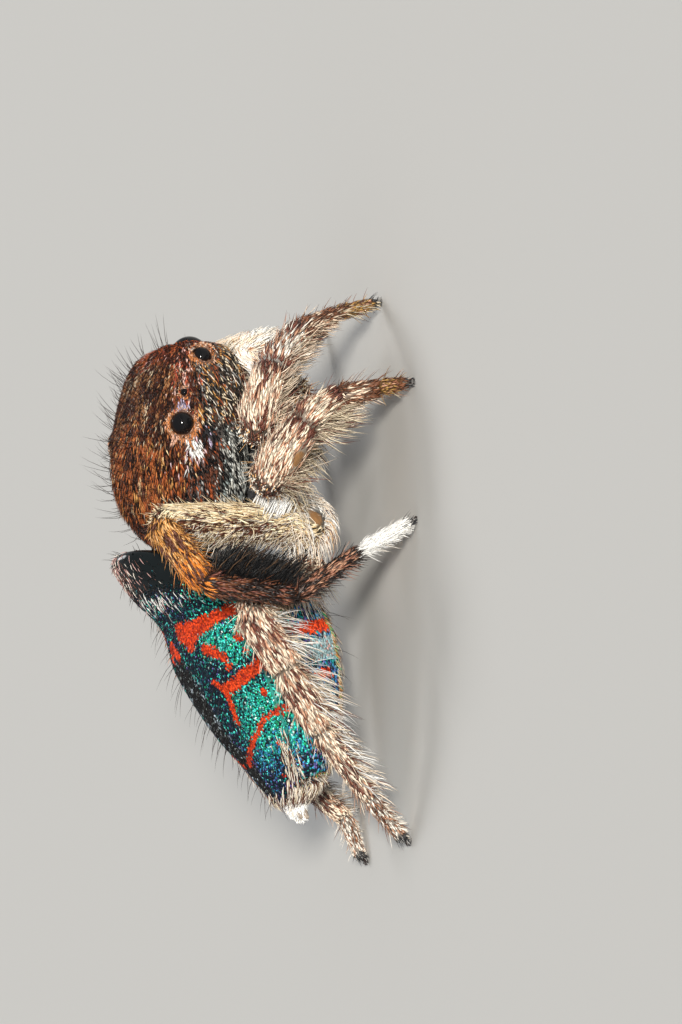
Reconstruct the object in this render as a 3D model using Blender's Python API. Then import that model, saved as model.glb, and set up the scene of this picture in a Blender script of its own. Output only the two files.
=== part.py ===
"""Peacock spider, male, at life size: a still model standing on eight feet, fan folded.

The head faces -Y, +Z is up, the floor is Z = 0 and the animal's right side faces -X.
Sizes are in millimetres until a mesh is written, then in metres.
"""

import math
import random

import bmesh
import bpy
import numpy as np
from mathutils import Vector
from mathutils.bvhtree import BVHTree

MM = 0.001

# Where the model stands: the design axes are moved by this so that the box is centred
CENTRE_SHIFT = (-0.670, -1.244, 0.0)
JOINT_GAP = 0.04
SIDES = (("right", 1.0), ("left", -1.0))
# A domed end, in radii: reach and radius of its ring, then its height
DOME = (0.5, 0.82, 0.85)

# Head and chest, in a frame that leans to the right and dips a little at the face
BODY_ORIGIN = (0.12, -0.058, 1.499)
BODY_LEAN_DEG = 15.0
BODY_DIP_DEG = 2.6
CARAPACE_SIDES = 28
# Stations along the carapace: forward, top, bottom, half width
CARAPACE_STATIONS = (
    (1.00, 0.60, 0.16, 0.40),
    (0.96, 0.71, 0.07, 0.60),
    (0.88, 0.80, -0.02, 0.69),
    (0.72, 0.89, -0.09, 0.75),
    (0.45, 0.97, -0.13, 0.79),
    (0.10, 1.02, -0.14, 0.83),
    (-0.20, 1.01, -0.14, 0.83),
    (-0.50, 0.94, -0.12, 0.79),
    (-0.76, 0.81, -0.07, 0.69),
    (-0.93, 0.62, 0.02, 0.56),
    (-1.03, 0.42, 0.11, 0.40),
    (-1.06, 0.32, 0.16, 0.26),
)
CARAPACE_SQUARENESS = 2.6

# Eyes: forward, sideways, height, radius
EYES = {
    "ame": (0.90, 0.215, 0.44, 0.190),
    "ale": (0.80, 0.600, 0.50, 0.105),
    "pme": (0.41, 0.680, 0.72, 0.040),
    "ple": (0.09, 0.700, 0.75, 0.118),
}
EYE_GAP = 0.02
# Facets round and along an eye, by kind
EYE_FACETS = {"ame": (16, 9), "ale": (12, 7), "pme": (8, 5), "ple": (12, 7)}

SQUARENESS_LOW = 2.2
STERNUM_SIDES = 16
STERNUM_STATIONS = (
    (0.66, -0.22, -0.34, 0.10),
    (0.60, -0.19, -0.41, 0.20),
    (0.40, -0.18, -0.45, 0.24),
    (0.00, -0.18, -0.47, 0.26),
    (-0.40, -0.17, -0.45, 0.23),
    (-0.58, -0.19, -0.38, 0.14),
)
CHELICERA_PATH = ((0.84, 0.165, -0.10), (0.91, 0.170, -0.32), (0.92, 0.165, -0.56))
CHELICERA_RADII = (0.135, 0.140, 0.100)
FANG_REACH = 0.16
FANG_RADIUS = 0.035
FANG_TAPER = (1.3, 1.0, 0.35)
FANG_SIDES = 8
JAW_SIDES = 12

PALP_FEMUR_PATH = ((0.69, 0.43, -0.34), (0.79, 0.52, -0.17), (0.94, 0.55, -0.04))
PALP_FEMUR_RADII = (0.085, 0.110, 0.120)
PALP_BULB_PATH = ((0.94, 0.55, -0.04), (1.03, 0.53, -0.25), (1.01, 0.47, -0.58))
PALP_BULB_RADII = (0.120, 0.150, 0.075)
PALP_BULB_MIDDLE = (0.55, 0.86)
PALP_BULB_TIP = 0.6

PEDICEL_ENDS = (-0.66, -1.12)
PEDICEL_HEIGHT = -0.20
PEDICEL_RADIUS = 0.085

# Stations down the abdomen: top Y, top Z, bottom Y, bottom Z, half width
ABDOMEN_STATIONS = (
    (1.03, 2.38, 1.13, 1.78, 0.26),
    (1.01, 2.58, 1.16, 1.48, 0.46),
    (1.13, 2.62, 1.24, 1.15, 0.62),
    (1.39, 2.42, 1.34, 0.84, 0.73),
    (1.70, 2.10, 1.50, 0.60, 0.77),
    (2.12, 1.96, 1.75, 0.46, 0.80),
    (2.48, 1.76, 2.10, 0.40, 0.76),
    (2.82, 1.53, 2.47, 0.39, 0.66),
    (3.10, 1.29, 2.84, 0.43, 0.53),
    (3.33, 1.12, 3.14, 0.52, 0.37),
    (3.45, 1.02, 3.37, 0.67, 0.21),
)
ABDOMEN_FRONT = (1.05, 2.04)
ABDOMEN_REAR = (3.47, 0.85)
ABDOMEN_SIDES = 32
ABDOMEN_SQUARENESS = 2.3

# The folded fan: a flap on each side, from and to these angles round the abdomen's section
FLAP_FROM_DEG = 68.0
FLAP_TO_DEG = 132.0
FLAP_MARGIN_DEG = 6.0
FLAP_STATIONS = (2, 9)
FLAP_THICKNESS = 0.07
FLAP_GAP = 0.035
FLAP_STEPS = 6

SPINNERET_PATH = ((3.51, 0.83), (3.57, 0.80), (3.63, 0.77))
SPINNERET_RADII = (0.12, 0.095, 0.045)
SPINNERET_SIDES = 12

# Legs: length of femur, patella, tibia, metatarsus and tarsus, then radius at each joint
LEG_LENGTHS = {
    "i": (1.36, 0.64, 0.57, 0.53, 0.50),
    "ii": (1.45, 0.67, 0.46, 0.43, 0.34),
    "iii": (1.80, 0.82, 0.91, 0.76, 0.56),
    "iv": (1.34, 0.68, 0.69, 0.84, 0.55),
}
LEG_RADII = {
    "i": (0.150, 0.205, 0.185, 0.155, 0.105, 0.075),
    "ii": (0.150, 0.205, 0.190, 0.150, 0.110, 0.075),
    "iii": (0.170, 0.160, 0.145, 0.115, 0.085, 0.070),
    "iv": (0.150, 0.185, 0.175, 0.150, 0.110, 0.080),
}
FEMUR_SWELL = {"i": 1.15, "ii": 1.15, "iii": 1.16, "iv": 1.08}
# Where each leg's femur starts in the leaning frame: forward, sideways, height
FEMUR_STARTS = {
    "i": (0.55, 0.75, -0.50),
    "ii": (0.15, 0.80, -0.55),
    "iii": (-0.86, 1.04, -0.58),
    "iv": (-1.23, 0.85, -0.65),
}
COXA_STARTS = {
    "i": (0.46, 0.36, -0.33),
    "ii": (0.13, 0.40, -0.34),
    "iii": (-0.22, 0.38, -0.34),
    "iv": (-0.56, 0.32, -0.33),
}
# Rings of the coxa: share of its length, and radius; the last radius is at the joint
COXA_SHARES = (0.0, 0.12, 0.5)
COXA_RADII = (0.123, 0.145, 0.150, 0.140)
COXA_BEND_SHARE = 0.42
# Heading and climb in degrees of each length; the tarsus climbs as the floor asks
LEG_POSE = {
    ("i", "right"): ((149, 29), (-91, -17), (-61, -35), (-46, -53), (-41, None)),
    ("ii", "right"): ((145, 26), (-107, -32), (-91, -53), (-160, -65), (180, None)),
    ("iii", "right"): ((173, 72), (118, -26), (140, -73), (-103, -56), (-112, None)),
    ("iv", "right"): ((145, 40), (101, -29), (90, -27), (76, -36), (71, None)),
    ("i", "left"): ((15, 14), (-88, -16), (-112, -36), (-138, -62), (-143, None)),
    ("ii", "left"): ((24, 14), (-69, -31), (-82, -54), (-99, -70), (-109, None)),
    ("iii", "left"): ((5, 8), (69, -22), (83, -52), (-98, -30), (-108, None)),
    ("iv", "left"): ((36, 5), (114, -36), (121, -30), (137, -26), (124, None)),
}
STEEPEST = 0.95
FOOT_RISE = 0.075
FOOT_PAD_RADIUS = 0.062
LEG_SIDES = 10
# Room that a ring keeps from a bend, in radii: always, and for each unit of the half bend's slope
BEND_ROOM = (0.20, 1.05)
SHARPEST_BEND = 2.15
# How far the swell of a length shows at its near and far end, and where its middle lies
SWELL_AT_ENDS = (0.6, 0.3)
MIDDLE_SHARE = 0.45
LEAST_ROOM_SHARE = 0.35
TIBIA_SWELL = 1.06
METATARSUS_SWELL = 0.94
# Waists, as shares of the joint's radius: after the patella and after the metatarsus
KNEE_WAIST = 0.86
ANKLE_WAIST = 0.88
METATARSUS_START = (0.92, 0.90)
# Rings of the tarsus: share of its length and of the ankle's or the foot's radius
TARSUS_NEAR = (0.30, 0.94)
TARSUS_FAR = (0.72, 1.0)
TARSUS_TURN = (0.93, 0.6)
FOOT_PAD_HEIGHT = 0.03
FOOT_PAD_TAPER = 1.08
FOOT_PAD_AHEAD = 0.35

# Fringes on the under side of the legs: locks, length, half the spread in degrees
FRINGES = {
    ("i", "femur"): (9, 0.34, 34),
    ("i", "tibia"): (11, 0.38, 44),
    ("i", "tarsus"): (6, 0.20, 44),
    ("ii", "femur"): (9, 0.36, 34),
    ("ii", "tibia"): (11, 0.40, 44),
    ("ii", "tarsus"): (5, 0.20, 44),
    ("iii", "femur"): (11, 0.30, 34),
    ("iii", "tibia"): (11, 0.36, 50),
    ("iii", "tarsus"): (6, 0.16, 60),
    ("iv", "femur"): (9, 0.32, 45),
    ("iv", "tibia"): (13, 0.42, 50),
    ("iv", "tarsus"): (10, 0.34, 50),
}
# Legs whose fringe follows the bend of the leg instead of hanging towards the floor
FRINGE_IN_THE_BEND = ("iii",)
# The part of each length of a leg that carries locks
FOOT_BARE = 0.30
FRINGE_FROM = 0.22
FRINGE_TO = 0.84
LOCK_WIDTH = 0.115
LOCK_THICKNESS = 0.040
LOCK_SINK = 0.05
# How far a lock turns from the way out to its lie, at its middle and towards its tip
LOCK_TURN = (0.45, 1.30)
# Places along a lock: share of its length and of its width
LOCK_STATIONS = ((0.0, 1.0), (0.42, 0.86), (0.76, 0.50))
LOCK_CLEARANCE = 0.05
# Where the roots of a fringe lie, in radii, and how its locks vary in length and turn
ROOT_SHARE = 0.93
LENGTH_RANGE = (0.85, 1.12)
TURN_CHANCE = 8.0
# Lengths tried, as shares, until a lock stays clear of its neighbours
LOCK_TRIES = (1.0, 0.8, 0.6, 0.45)
RAY = Vector((0.36, 0.48, 0.80))
RAY_STEP = 1e-5
SEED = 11

# Bristles of the head: rows of forward place and count across
HEAD_BRISTLE_ROWS = (
    (0.92, 5),
    (0.70, 6),
    (0.45, 6),
    (0.18, 6),
    (-0.10, 6),
    (-0.38, 5),
    (-0.64, 5),
    (-0.86, 4),
)
HEAD_BRISTLE_LENGTH = 0.42
HEAD_BRISTLE_WIDTH = 0.045
HEAD_BRISTLE_SPREAD = 1.0
HEAD_BRISTLE_LEAN = 0.35
# Hair locks over the lower edge of the face: half the span, forward reach, height
FACE_LOCKS = 9
FACE_LOCK_LENGTH = 0.24
FACE_LOCK_SPAN = 0.50
FACE_LOCK_PLACE = (1.03, 0.13)
FACE_LOCK_LEAN = (0.25, -0.35)
FACE_CURVE = 0.10
# Tufts round the abdomen's rear and over its raised front edge
REAR_LOCKS = 18
REAR_LOCK_LENGTH = 0.26
EDGE_LOCKS = 11
EDGE_LOCK_LENGTH = 0.18
EDGE_LOCK_SPREAD = 1.15
PALP_LOCKS = 9
PALP_LOCK_LENGTH = 0.20
# Where they stand: shares of the bulb's length, degrees round it, and depth in radii
PALP_LOCK_FROM = 0.05
PALP_LOCK_TO = 0.85
PALP_LOCK_SPREAD = 70.0
PALP_LOCK_TURN = 25.0
PALP_LOCK_DEPTH = 0.85

COLOURS = {
    "carapace": (0.16, 0.075, 0.04),
    "eye": (0.004, 0.004, 0.005),
    "under": (0.055, 0.05, 0.05),
    "palp": (0.72, 0.62, 0.5),
    "chelicera": (0.12, 0.07, 0.045),
    "leg": (0.45, 0.33, 0.22),
    "leg_dark": (0.11, 0.05, 0.03),
    "tarsus_white": (0.86, 0.85, 0.82),
    "abdomen": (0.03, 0.25, 0.3),
    "fan": (0.75, 0.14, 0.05),
    "spinneret": (0.7, 0.68, 0.62),
}

lean = math.radians(BODY_LEAN_DEG)
dip = math.radians(BODY_DIP_DEG)
LEAN_UP = np.array((-math.sin(lean), 0.0, math.cos(lean)))
RIGHT = np.array((-math.cos(lean), 0.0, -math.sin(lean)))
AHEAD = np.array((0.0, -1.0, 0.0))
FLOORWARD = np.array((0.0, 0.0, -1.0))
FORWARD = math.cos(dip) * AHEAD - math.sin(dip) * LEAN_UP
UPWARD = math.cos(dip) * LEAN_UP + math.sin(dip) * AHEAD


def in_body(forward, right, up):
    """A point given in the leaning frame of the head and chest."""
    return np.array(BODY_ORIGIN) + forward * FORWARD + right * RIGHT + up * UPWARD


def mid_plane(y, z):
    """A point on the animal's leaning mid-plane."""
    return np.array((BODY_ORIGIN[0] - math.tan(lean) * (z - BODY_ORIGIN[2]), y, z))


def unit(vector):
    return vector / np.linalg.norm(vector)


def superellipse(centre, side, rise, half_width, half_height, count, squareness):
    """One ring of points, from the top towards the side axis."""
    ring = []
    for k in range(count):
        turn = 2.0 * math.pi * k / count
        c, s = math.cos(turn), math.sin(turn)
        x = math.copysign(abs(s) ** (2.0 / squareness), s)
        y = math.copysign(abs(c) ** (2.0 / squareness), c)
        ring.append(centre + side * half_width * x + rise * half_height * y)
    return np.array(ring)


def skin_of(rings, start=None, end=None):
    """Vertices and faces of a closed loft; an end given as a point closes in a fan."""
    count = len(rings[0])
    vertices = [tuple(p) for ring in rings for p in ring]
    faces = []
    for r in range(len(rings) - 1):
        for k in range(count):
            a, b = r * count + k, r * count + (k + 1) % count
            faces.append((a, b, b + count, a + count))
    last = (len(rings) - 1) * count
    if start is None:
        faces.append(tuple(reversed(range(count))))
    else:
        vertices.append(tuple(start))
        tip = len(vertices) - 1
        faces += [(tip, (k + 1) % count, k) for k in range(count)]
    if end is None:
        faces.append(tuple(range(last, last + count)))
    else:
        vertices.append(tuple(end))
        tip = len(vertices) - 1
        faces += [(tip, last + k, last + (k + 1) % count) for k in range(count)]
    return vertices, faces


def mesh_object(name, shape):
    """An object in millimetres whose faces point outwards."""
    vertices, faces = shape
    mesh = bpy.data.meshes.new(name)
    mesh.from_pydata(vertices, [], faces)
    work = bmesh.new()
    work.from_mesh(mesh)
    bmesh.ops.recalc_face_normals(work, faces=work.faces)
    if work.calc_volume(signed=True) < 0.0:
        bmesh.ops.reverse_faces(work, faces=work.faces)
    work.to_mesh(mesh)
    work.free()
    obj = bpy.data.objects.new(name, mesh)
    bpy.context.scene.collection.objects.link(obj)
    return obj


def across(direction, hint):
    """The unit vector nearest to the hint that is square to the direction."""
    flat = hint - direction * hint.dot(direction)
    if np.linalg.norm(flat) < 1e-6:
        flat = np.array((1.0, 0.0, 0.0)) - direction * direction[0]
    return unit(flat)


def tube(stations, sides, hint, start=None, end=None):
    """A closed tube through stations of (centre, normal, radius)."""
    rings = []
    for centre, normal, radius in stations:
        u = across(normal, hint)
        v = np.cross(normal, u)
        ring = [
            centre
            + radius * (math.cos(2 * math.pi * k / sides) * u + math.sin(2 * math.pi * k / sides) * v)
            for k in range(sides)
        ]
        rings.append(np.array(ring))
        hint = u
    return skin_of(rings, start, end)


def rounded_tube(path, radii, sides, round_start=True, round_end=True):
    """A tube along a path whose ends are domed or flat."""
    path = [np.array(p, float) for p in path]
    steps = [unit(b - a) for a, b in zip(path, path[1:])]
    normals = [steps[0]] + [unit(a + b) for a, b in zip(steps, steps[1:])] + [steps[-1]]
    stations = list(zip(path, normals, radii))
    start = end = None
    reach, share, height = DOME
    if round_start:
        p, n, r = stations[0]
        stations.insert(0, (p - reach * r * n, n, share * r))
        start = p - height * r * n
    if round_end:
        p, n, r = stations[-1]
        stations.append((p + reach * r * n, n, share * r))
        end = p + height * r * n
    return tube(stations, sides, LEAN_UP, start, end)


def body_loft(stations, sides, squareness):
    """A loft in the leaning frame from rows of (forward, top, bottom, half width)."""
    rings = []
    for forward, top, bottom, half_width in stations:
        centre = in_body(forward, 0.0, (top + bottom) / 2.0)
        rings.append(
            superellipse(
                centre, RIGHT, UPWARD, half_width, (top - bottom) / 2.0, sides, squareness
            )
        )
    return skin_of(rings)


def abdomen_ring(station, inset=0.0, turns=None):
    """A ring of the abdomen's section, or the part of it at the given turns in radians."""
    top_y, top_z, bottom_y, bottom_z, half_width = station
    top, bottom = mid_plane(top_y, top_z), mid_plane(bottom_y, bottom_z)
    centre, rise = (top + bottom) / 2.0, unit(top - bottom)
    half_height = np.linalg.norm(top - bottom) / 2.0
    if turns is None:
        turns = [2.0 * math.pi * k / ABDOMEN_SIDES for k in range(ABDOMEN_SIDES)]
    ring = []
    for turn in turns:
        c, s = math.cos(turn), math.sin(turn)
        x = math.copysign(abs(s) ** (2.0 / ABDOMEN_SQUARENESS), s)
        y = math.copysign(abs(c) ** (2.0 / ABDOMEN_SQUARENESS), c)
        away = inset(turn) if callable(inset) else inset
        ring.append(
            centre + RIGHT * (half_width - away) * x + rise * (half_height - away) * y
        )
    return np.array(ring)


def under_flap(turn):
    """How far the abdomen lies inside its full section at a turn, to make room for a flap."""
    away = abs(math.degrees(math.atan2(math.sin(turn), math.cos(turn))))
    beside = FLAP_FROM_DEG - FLAP_MARGIN_DEG < away < FLAP_TO_DEG + FLAP_MARGIN_DEG
    return FLAP_THICKNESS + FLAP_GAP if beside else 0.0


def abdomen_shape():
    first, last = FLAP_STATIONS
    rings = []
    for index, station in enumerate(ABDOMEN_STATIONS):
        inset = under_flap if first <= index <= last else 0.0
        rings.append(abdomen_ring(station, inset))
    return skin_of(rings, mid_plane(*ABDOMEN_FRONT), mid_plane(*ABDOMEN_REAR))


def flap_shape(sign):
    """A curved plate that lies along the abdomen's side."""
    first, last = FLAP_STATIONS
    turns = [
        sign * math.radians(FLAP_FROM_DEG + (FLAP_TO_DEG - FLAP_FROM_DEG) * k / FLAP_STEPS)
        for k in range(FLAP_STEPS + 1)
    ]
    rings = []
    for station in ABDOMEN_STATIONS[first : last + 1]:
        outer = abdomen_ring(station, 0.0, turns)
        inner = abdomen_ring(station, FLAP_THICKNESS, turns)
        rings.append(np.concatenate([outer, inner[::-1]]))
    margin = 0.5 * FLAP_GAP
    rings[0] = rings[0] + margin * unit((rings[1] - rings[0]).mean(axis=0))
    rings[-1] = rings[-1] - margin * unit((rings[-1] - rings[-2]).mean(axis=0))
    return skin_of(rings)


def leg_joints(leg, side):
    """The six joint centres of a leg, from the femur's start to the foot."""
    sign = 1.0 if side == "right" else -1.0
    forward, right, up = FEMUR_STARTS[leg]
    points = [in_body(forward, sign * right, up)]
    for length, (heading, climb) in zip(LEG_LENGTHS[leg], LEG_POSE[leg, side]):
        turn = math.radians(heading)
        if climb is None:
            slope = math.asin(max(-STEEPEST, (FOOT_RISE - points[-1][2]) / length))
        else:
            slope = math.radians(climb)
        step = np.array(
            (math.cos(turn) * math.cos(slope), math.sin(turn) * math.cos(slope), math.sin(slope))
        )
        points.append(points[-1] + length * step)
    return points


def coxa_start(leg, side):
    sign = 1.0 if side == "right" else -1.0
    forward, right, up = COXA_STARTS[leg]
    return in_body(forward, sign * right, up)


def joint_ring(joint, before, after, radius, sign):
    """The station on one side of a joint, in the plane that halves the bend."""
    normal = unit(unit(joint - before) + unit(after - joint))
    return (joint + sign * 0.5 * JOINT_GAP * normal, normal, radius)


def fold_room(radius, turn):
    """How far from a bend a square ring must stay for its inner side not to cross the bend."""
    sharp = math.tan(min(turn, SHARPEST_BEND) / 2.0)
    return radius * (BEND_ROOM[0] + BEND_ROOM[1] * sharp) + 0.5 * JOINT_GAP


def clear_of(start, end, radius_start, radius_end, bend_start, bend_end, swell=1.0):
    """Stations between two joints, far enough from each for a sharp bend not to fold."""
    step = end - start
    length = np.linalg.norm(step)
    normal = step / length
    near = fold_room(radius_start, bend_start)
    far = fold_room(radius_end, bend_end)
    room = length - near - far
    middle = 0.5 * (radius_start + radius_end) * swell
    first, last = (1.0 + share * (swell - 1.0) for share in SWELL_AT_ENDS)
    stations = [(start + normal * near, normal, radius_start * first)]
    if room > LEAST_ROOM_SHARE * length:
        stations.append((start + normal * (near + MIDDLE_SHARE * room), normal, middle))
    stations.append((end - normal * far, normal, radius_end * last))
    return stations


def bend_at(before, joint, after):
    """The turn in radians at a joint."""
    return math.acos(np.clip(unit(joint - before).dot(unit(after - joint)), -1.0, 1.0))


def coxa_shape(leg, side):
    joints = leg_joints(leg, side)
    start, end = coxa_start(leg, side), joints[0]
    normal = unit(end - start)
    stations = [
        (start + share * (end - start), normal, radius)
        for share, radius in zip(COXA_SHARES, COXA_RADII)
    ]
    turn = bend_at(start, end, joints[1])
    back = min(fold_room(COXA_RADII[-1], turn), COXA_BEND_SHARE * np.linalg.norm(end - start))
    stations.append((end - normal * back, normal, COXA_RADII[-1]))
    stations.append(joint_ring(end, start, joints[1], COXA_RADII[-1], -1.0))
    return tube(stations, LEG_SIDES, LEAN_UP)


def femur_shape(leg, side):
    joints, radii = leg_joints(leg, side), LEG_RADII[leg]
    before = coxa_start(leg, side)
    a, b, c = joints[0], joints[1], joints[2]
    stations = [joint_ring(a, before, b, radii[0], 1.0)]
    stations += clear_of(
        a, b, radii[0], radii[1], bend_at(before, a, b), bend_at(a, b, c), FEMUR_SWELL[leg]
    )
    stations.append(joint_ring(b, a, c, radii[1], -1.0))
    return tube(stations, LEG_SIDES, LEAN_UP)


def tibia_shape(leg, side):
    """The patella and the tibia, with the waist between them."""
    joints, radii = leg_joints(leg, side), LEG_RADII[leg]
    a, b, c, d, e = joints[0], joints[1], joints[2], joints[3], joints[4]
    stations = [joint_ring(b, a, c, radii[1], 1.0)]
    stations += clear_of(b, c, radii[1], radii[2], bend_at(a, b, c), bend_at(b, c, d), TIBIA_SWELL)
    waist = unit(unit(c - b) + unit(d - c))
    stations.append((c, waist, radii[2] * KNEE_WAIST))
    stations += clear_of(c, d, radii[2], radii[3], bend_at(b, c, d), bend_at(c, d, e), TIBIA_SWELL)
    stations.append(joint_ring(d, c, e, radii[3], -1.0))
    return tube(stations, LEG_SIDES, LEAN_UP)


def tarsus_shape(leg, side):
    """The metatarsus and the tarsus, which ends in a small flat on the floor."""
    joints, radii = leg_joints(leg, side), LEG_RADII[leg]
    c, d, e, f = joints[2], joints[3], joints[4], joints[5]
    ring, near = (radii[3] * share for share in METATARSUS_START)
    bends = bend_at(c, d, e), bend_at(d, e, f)
    stations = [joint_ring(d, c, e, ring, 1.0)]
    stations += clear_of(d, e, near, radii[4], *bends, METATARSUS_SWELL)
    waist = unit(unit(e - d) + unit(f - e))
    stations.append((e, waist, radii[4] * ANKLE_WAIST))
    tip = unit(f - e)
    share, width = TARSUS_NEAR
    stations.append((e + share * (f - e), tip, radii[4] * width))
    share, width = TARSUS_FAR
    stations.append((e + share * (f - e), tip, radii[5] * width))
    share, turn = TARSUS_TURN
    stations.append((e + share * (f - e), unit(tip + turn * FLOORWARD), radii[5]))
    ahead = FOOT_PAD_AHEAD * FOOT_PAD_RADIUS * np.array((tip[0], tip[1], 0.0))
    pad = np.array((f[0], f[1], 0.0)) + ahead
    above = pad - FOOT_PAD_HEIGHT * FLOORWARD
    stations.append((above, FLOORWARD, FOOT_PAD_RADIUS * FOOT_PAD_TAPER))
    stations.append((pad, FLOORWARD, FOOT_PAD_RADIUS))
    return tube(stations, LEG_SIDES, LEAN_UP)


class Lock:
    """A tapered lock that leaves the surface at its root and bends to its lie."""

    def __init__(self, root, outward, lie, length, width=LOCK_WIDTH, upright=False):
        self.root = root
        self.outward = outward
        self.lie = lie
        self.length = length
        self.width = width
        self.upright = upright

    def spine(self, share=1.0):
        """The places along the lock and the way it runs there, at a share of its length."""
        middle, end = (unit(self.outward + turn * self.lie) for turn in LOCK_TURN)
        length = share * self.length
        bend, taper = LOCK_STATIONS[1][0], LOCK_STATIONS[2][0]
        second = self.root + bend * length * middle
        third = second + (taper - bend) * length * end
        return (
            (self.root - LOCK_SINK * self.outward, self.outward),
            (second, middle),
            (third, end),
            (third + (1.0 - taper) * length * end, end),
        )

    def object(self, share):
        """The lock's mesh: flat on the surface, or standing on its edge when upright."""
        level = unit(np.cross(self.outward, self.lie))
        spine = self.spine(share)
        rings = []
        for (centre, direction), (_, breadth) in zip(spine, LOCK_STATIONS):
            square = unit(np.cross(level, direction))
            wide, thin = (square, level) if self.upright else (level, square)
            side = 0.5 * self.width * breadth * wide
            thick = 0.5 * LOCK_THICKNESS * breadth * self.width / LOCK_WIDTH * thin
            rings.append(
                np.array([centre + side - 0.5 * thick, centre - side - 0.5 * thick, centre + thick])
            )
        return mesh_object("lock", skin_of(rings, None, spine[3][0]))


def is_inside(tree, spot):
    """Whether a ray from the spot leaves the closed mesh an odd number of times."""
    hits = 0
    while True:
        hit = tree.ray_cast(spot, RAY)[0]
        if hit is None:
            return hits % 2 == 1
        hits += 1
        spot = hit + RAY_STEP * RAY


class Neighbours:
    """Knows where every node and every lock lies, so that a new lock stays clear of others."""

    def __init__(self, nodes):
        self.trees = {}
        for name, (obj, _) in nodes.items():
            vertices = [v.co for v in obj.data.vertices]
            faces = [tuple(f.vertices) for f in obj.data.polygons]
            self.trees[name] = BVHTree.FromPolygons(vertices, faces)
        self.taken = []

    def is_clear(self, node, points, room):
        """Whether points of a lock of this node keep their room from all other nodes."""
        for point in points:
            if point[2] < room:
                return False
            spot = Vector(point)
            for name, tree in self.trees.items():
                if name == node:
                    continue
                if tree.find_nearest(spot)[3] < room or is_inside(tree, spot):
                    return False
            for name, other in self.taken:
                if name != node and np.linalg.norm(other - point) < 1.6 * room:
                    return False
        return True

    def grow(self, node, locks):
        """The meshes of those locks that find room, each at the greatest length that does."""
        grown = []
        for lock in locks:
            for share in LOCK_TRIES:
                places = [place for place, _ in lock.spine(share)[1:]]
                root = lock.root + 0.02 * lock.outward
                points = [root, 0.5 * (root + places[0])] + places
                points.insert(3, 0.5 * (places[0] + places[1]))
                if self.is_clear(node, points, LOCK_CLEARANCE):
                    self.taken += [(node, point) for point in points]
                    grown.append(lock.object(share))
                    break
        return grown


def fringe(path, radii, toward, amount, chance):
    """Locks on the under side of a jointed length."""
    count, length, spread = amount
    spans = [np.linalg.norm(b - a) for a, b in zip(path, path[1:])]
    total = sum(spans)
    locks = []
    for k in range(count):
        reach = total * (k + 0.6) / (count + 0.2)
        span = 0
        while reach > spans[span] and span < len(spans) - 1:
            reach -= spans[span]
            span += 1
        share = FRINGE_FROM + (FRINGE_TO - FRINGE_FROM) * min(1.0, reach / spans[span])
        a, b = path[span], path[span + 1]
        along = unit(b - a)
        radius = radii[span] + share * (radii[span + 1] - radii[span])
        down = across(along, toward[span])
        side = np.cross(along, down)
        turn = math.radians(spread * ((k % 3) - 1) + chance.uniform(-TURN_CHANCE, TURN_CHANCE))
        outward = unit(math.cos(turn) * down + math.sin(turn) * side)
        root = a + share * (b - a) + ROOT_SHARE * radius * outward
        long = length * chance.uniform(*LENGTH_RANGE)
        locks.append(Lock(root, outward, along, long, upright=True))
    return locks


def ball_shape(centre, radius, axis, segments, rows):
    """A closed sphere whose poles lie on the axis."""
    stations = []
    for k in range(1, rows):
        turn = math.pi * k / rows
        stations.append((centre - axis * radius * math.cos(turn), axis, radius * math.sin(turn)))
    return tube(stations, segments, UPWARD, centre - axis * radius, centre + axis * radius)


def apply_boolean(obj, cutters, operation, solver):
    """One Boolean with a collection of helpers, which are removed afterwards."""
    group = bpy.data.collections.new("helpers")
    bpy.context.scene.collection.children.link(group)
    for cutter in cutters:
        bpy.context.scene.collection.objects.unlink(cutter)
        group.objects.link(cutter)
    step = obj.modifiers.new("join", "BOOLEAN")
    step.operation = operation
    step.operand_type = "COLLECTION"
    step.collection = group
    step.solver = solver
    bpy.context.view_layer.update()
    graph = bpy.context.evaluated_depsgraph_get()
    fused = bpy.data.meshes.new_from_object(obj.evaluated_get(graph))
    obj.modifiers.clear()
    old = obj.data
    obj.data = fused
    bpy.data.meshes.remove(old)
    for cutter in list(group.objects):
        bpy.data.objects.remove(cutter)
    bpy.data.collections.remove(group)


def keep_largest(obj):
    """Drops every loose closed surface but the largest."""
    work = bmesh.new()
    work.from_mesh(obj.data)
    left = set(work.faces)
    groups = []
    while left:
        queue = [left.pop()]
        found = set(queue)
        while queue:
            face = queue.pop()
            for edge in face.edges:
                for other in edge.link_faces:
                    if other in left:
                        left.discard(other)
                        found.add(other)
                        queue.append(other)
        groups.append(found)
    groups.sort(key=len, reverse=True)
    for group in groups[1:]:
        bmesh.ops.delete(work, geom=list(group), context="FACES")
    work.to_mesh(obj.data)
    work.free()


def join_locks(obj, locks):
    """Fuses the locks with the object that carries them."""
    if locks:
        apply_boolean(obj, locks, "UNION", "MANIFOLD")
        keep_largest(obj)


def material(name, roughness, metallic=0.0):
    made = bpy.data.materials.new(name)
    made.use_nodes = True
    surface = made.node_tree.nodes["Principled BSDF"]
    surface.inputs["Base Color"].default_value = (*COLOURS[name], 1.0)
    surface.inputs["Roughness"].default_value = roughness
    surface.inputs["Metallic"].default_value = metallic
    return made


def finish(obj, surface):
    """Moves the mesh to its stand, turns it into metres and gives it its surface."""
    shift = np.array(CENTRE_SHIFT)
    for vertex in obj.data.vertices:
        vertex.co = (np.array(vertex.co) + shift) * MM
    for polygon in obj.data.polygons:
        polygon.use_smooth = True
    obj.data.materials.clear()
    obj.data.materials.append(surface)
    obj.data.update()


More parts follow.
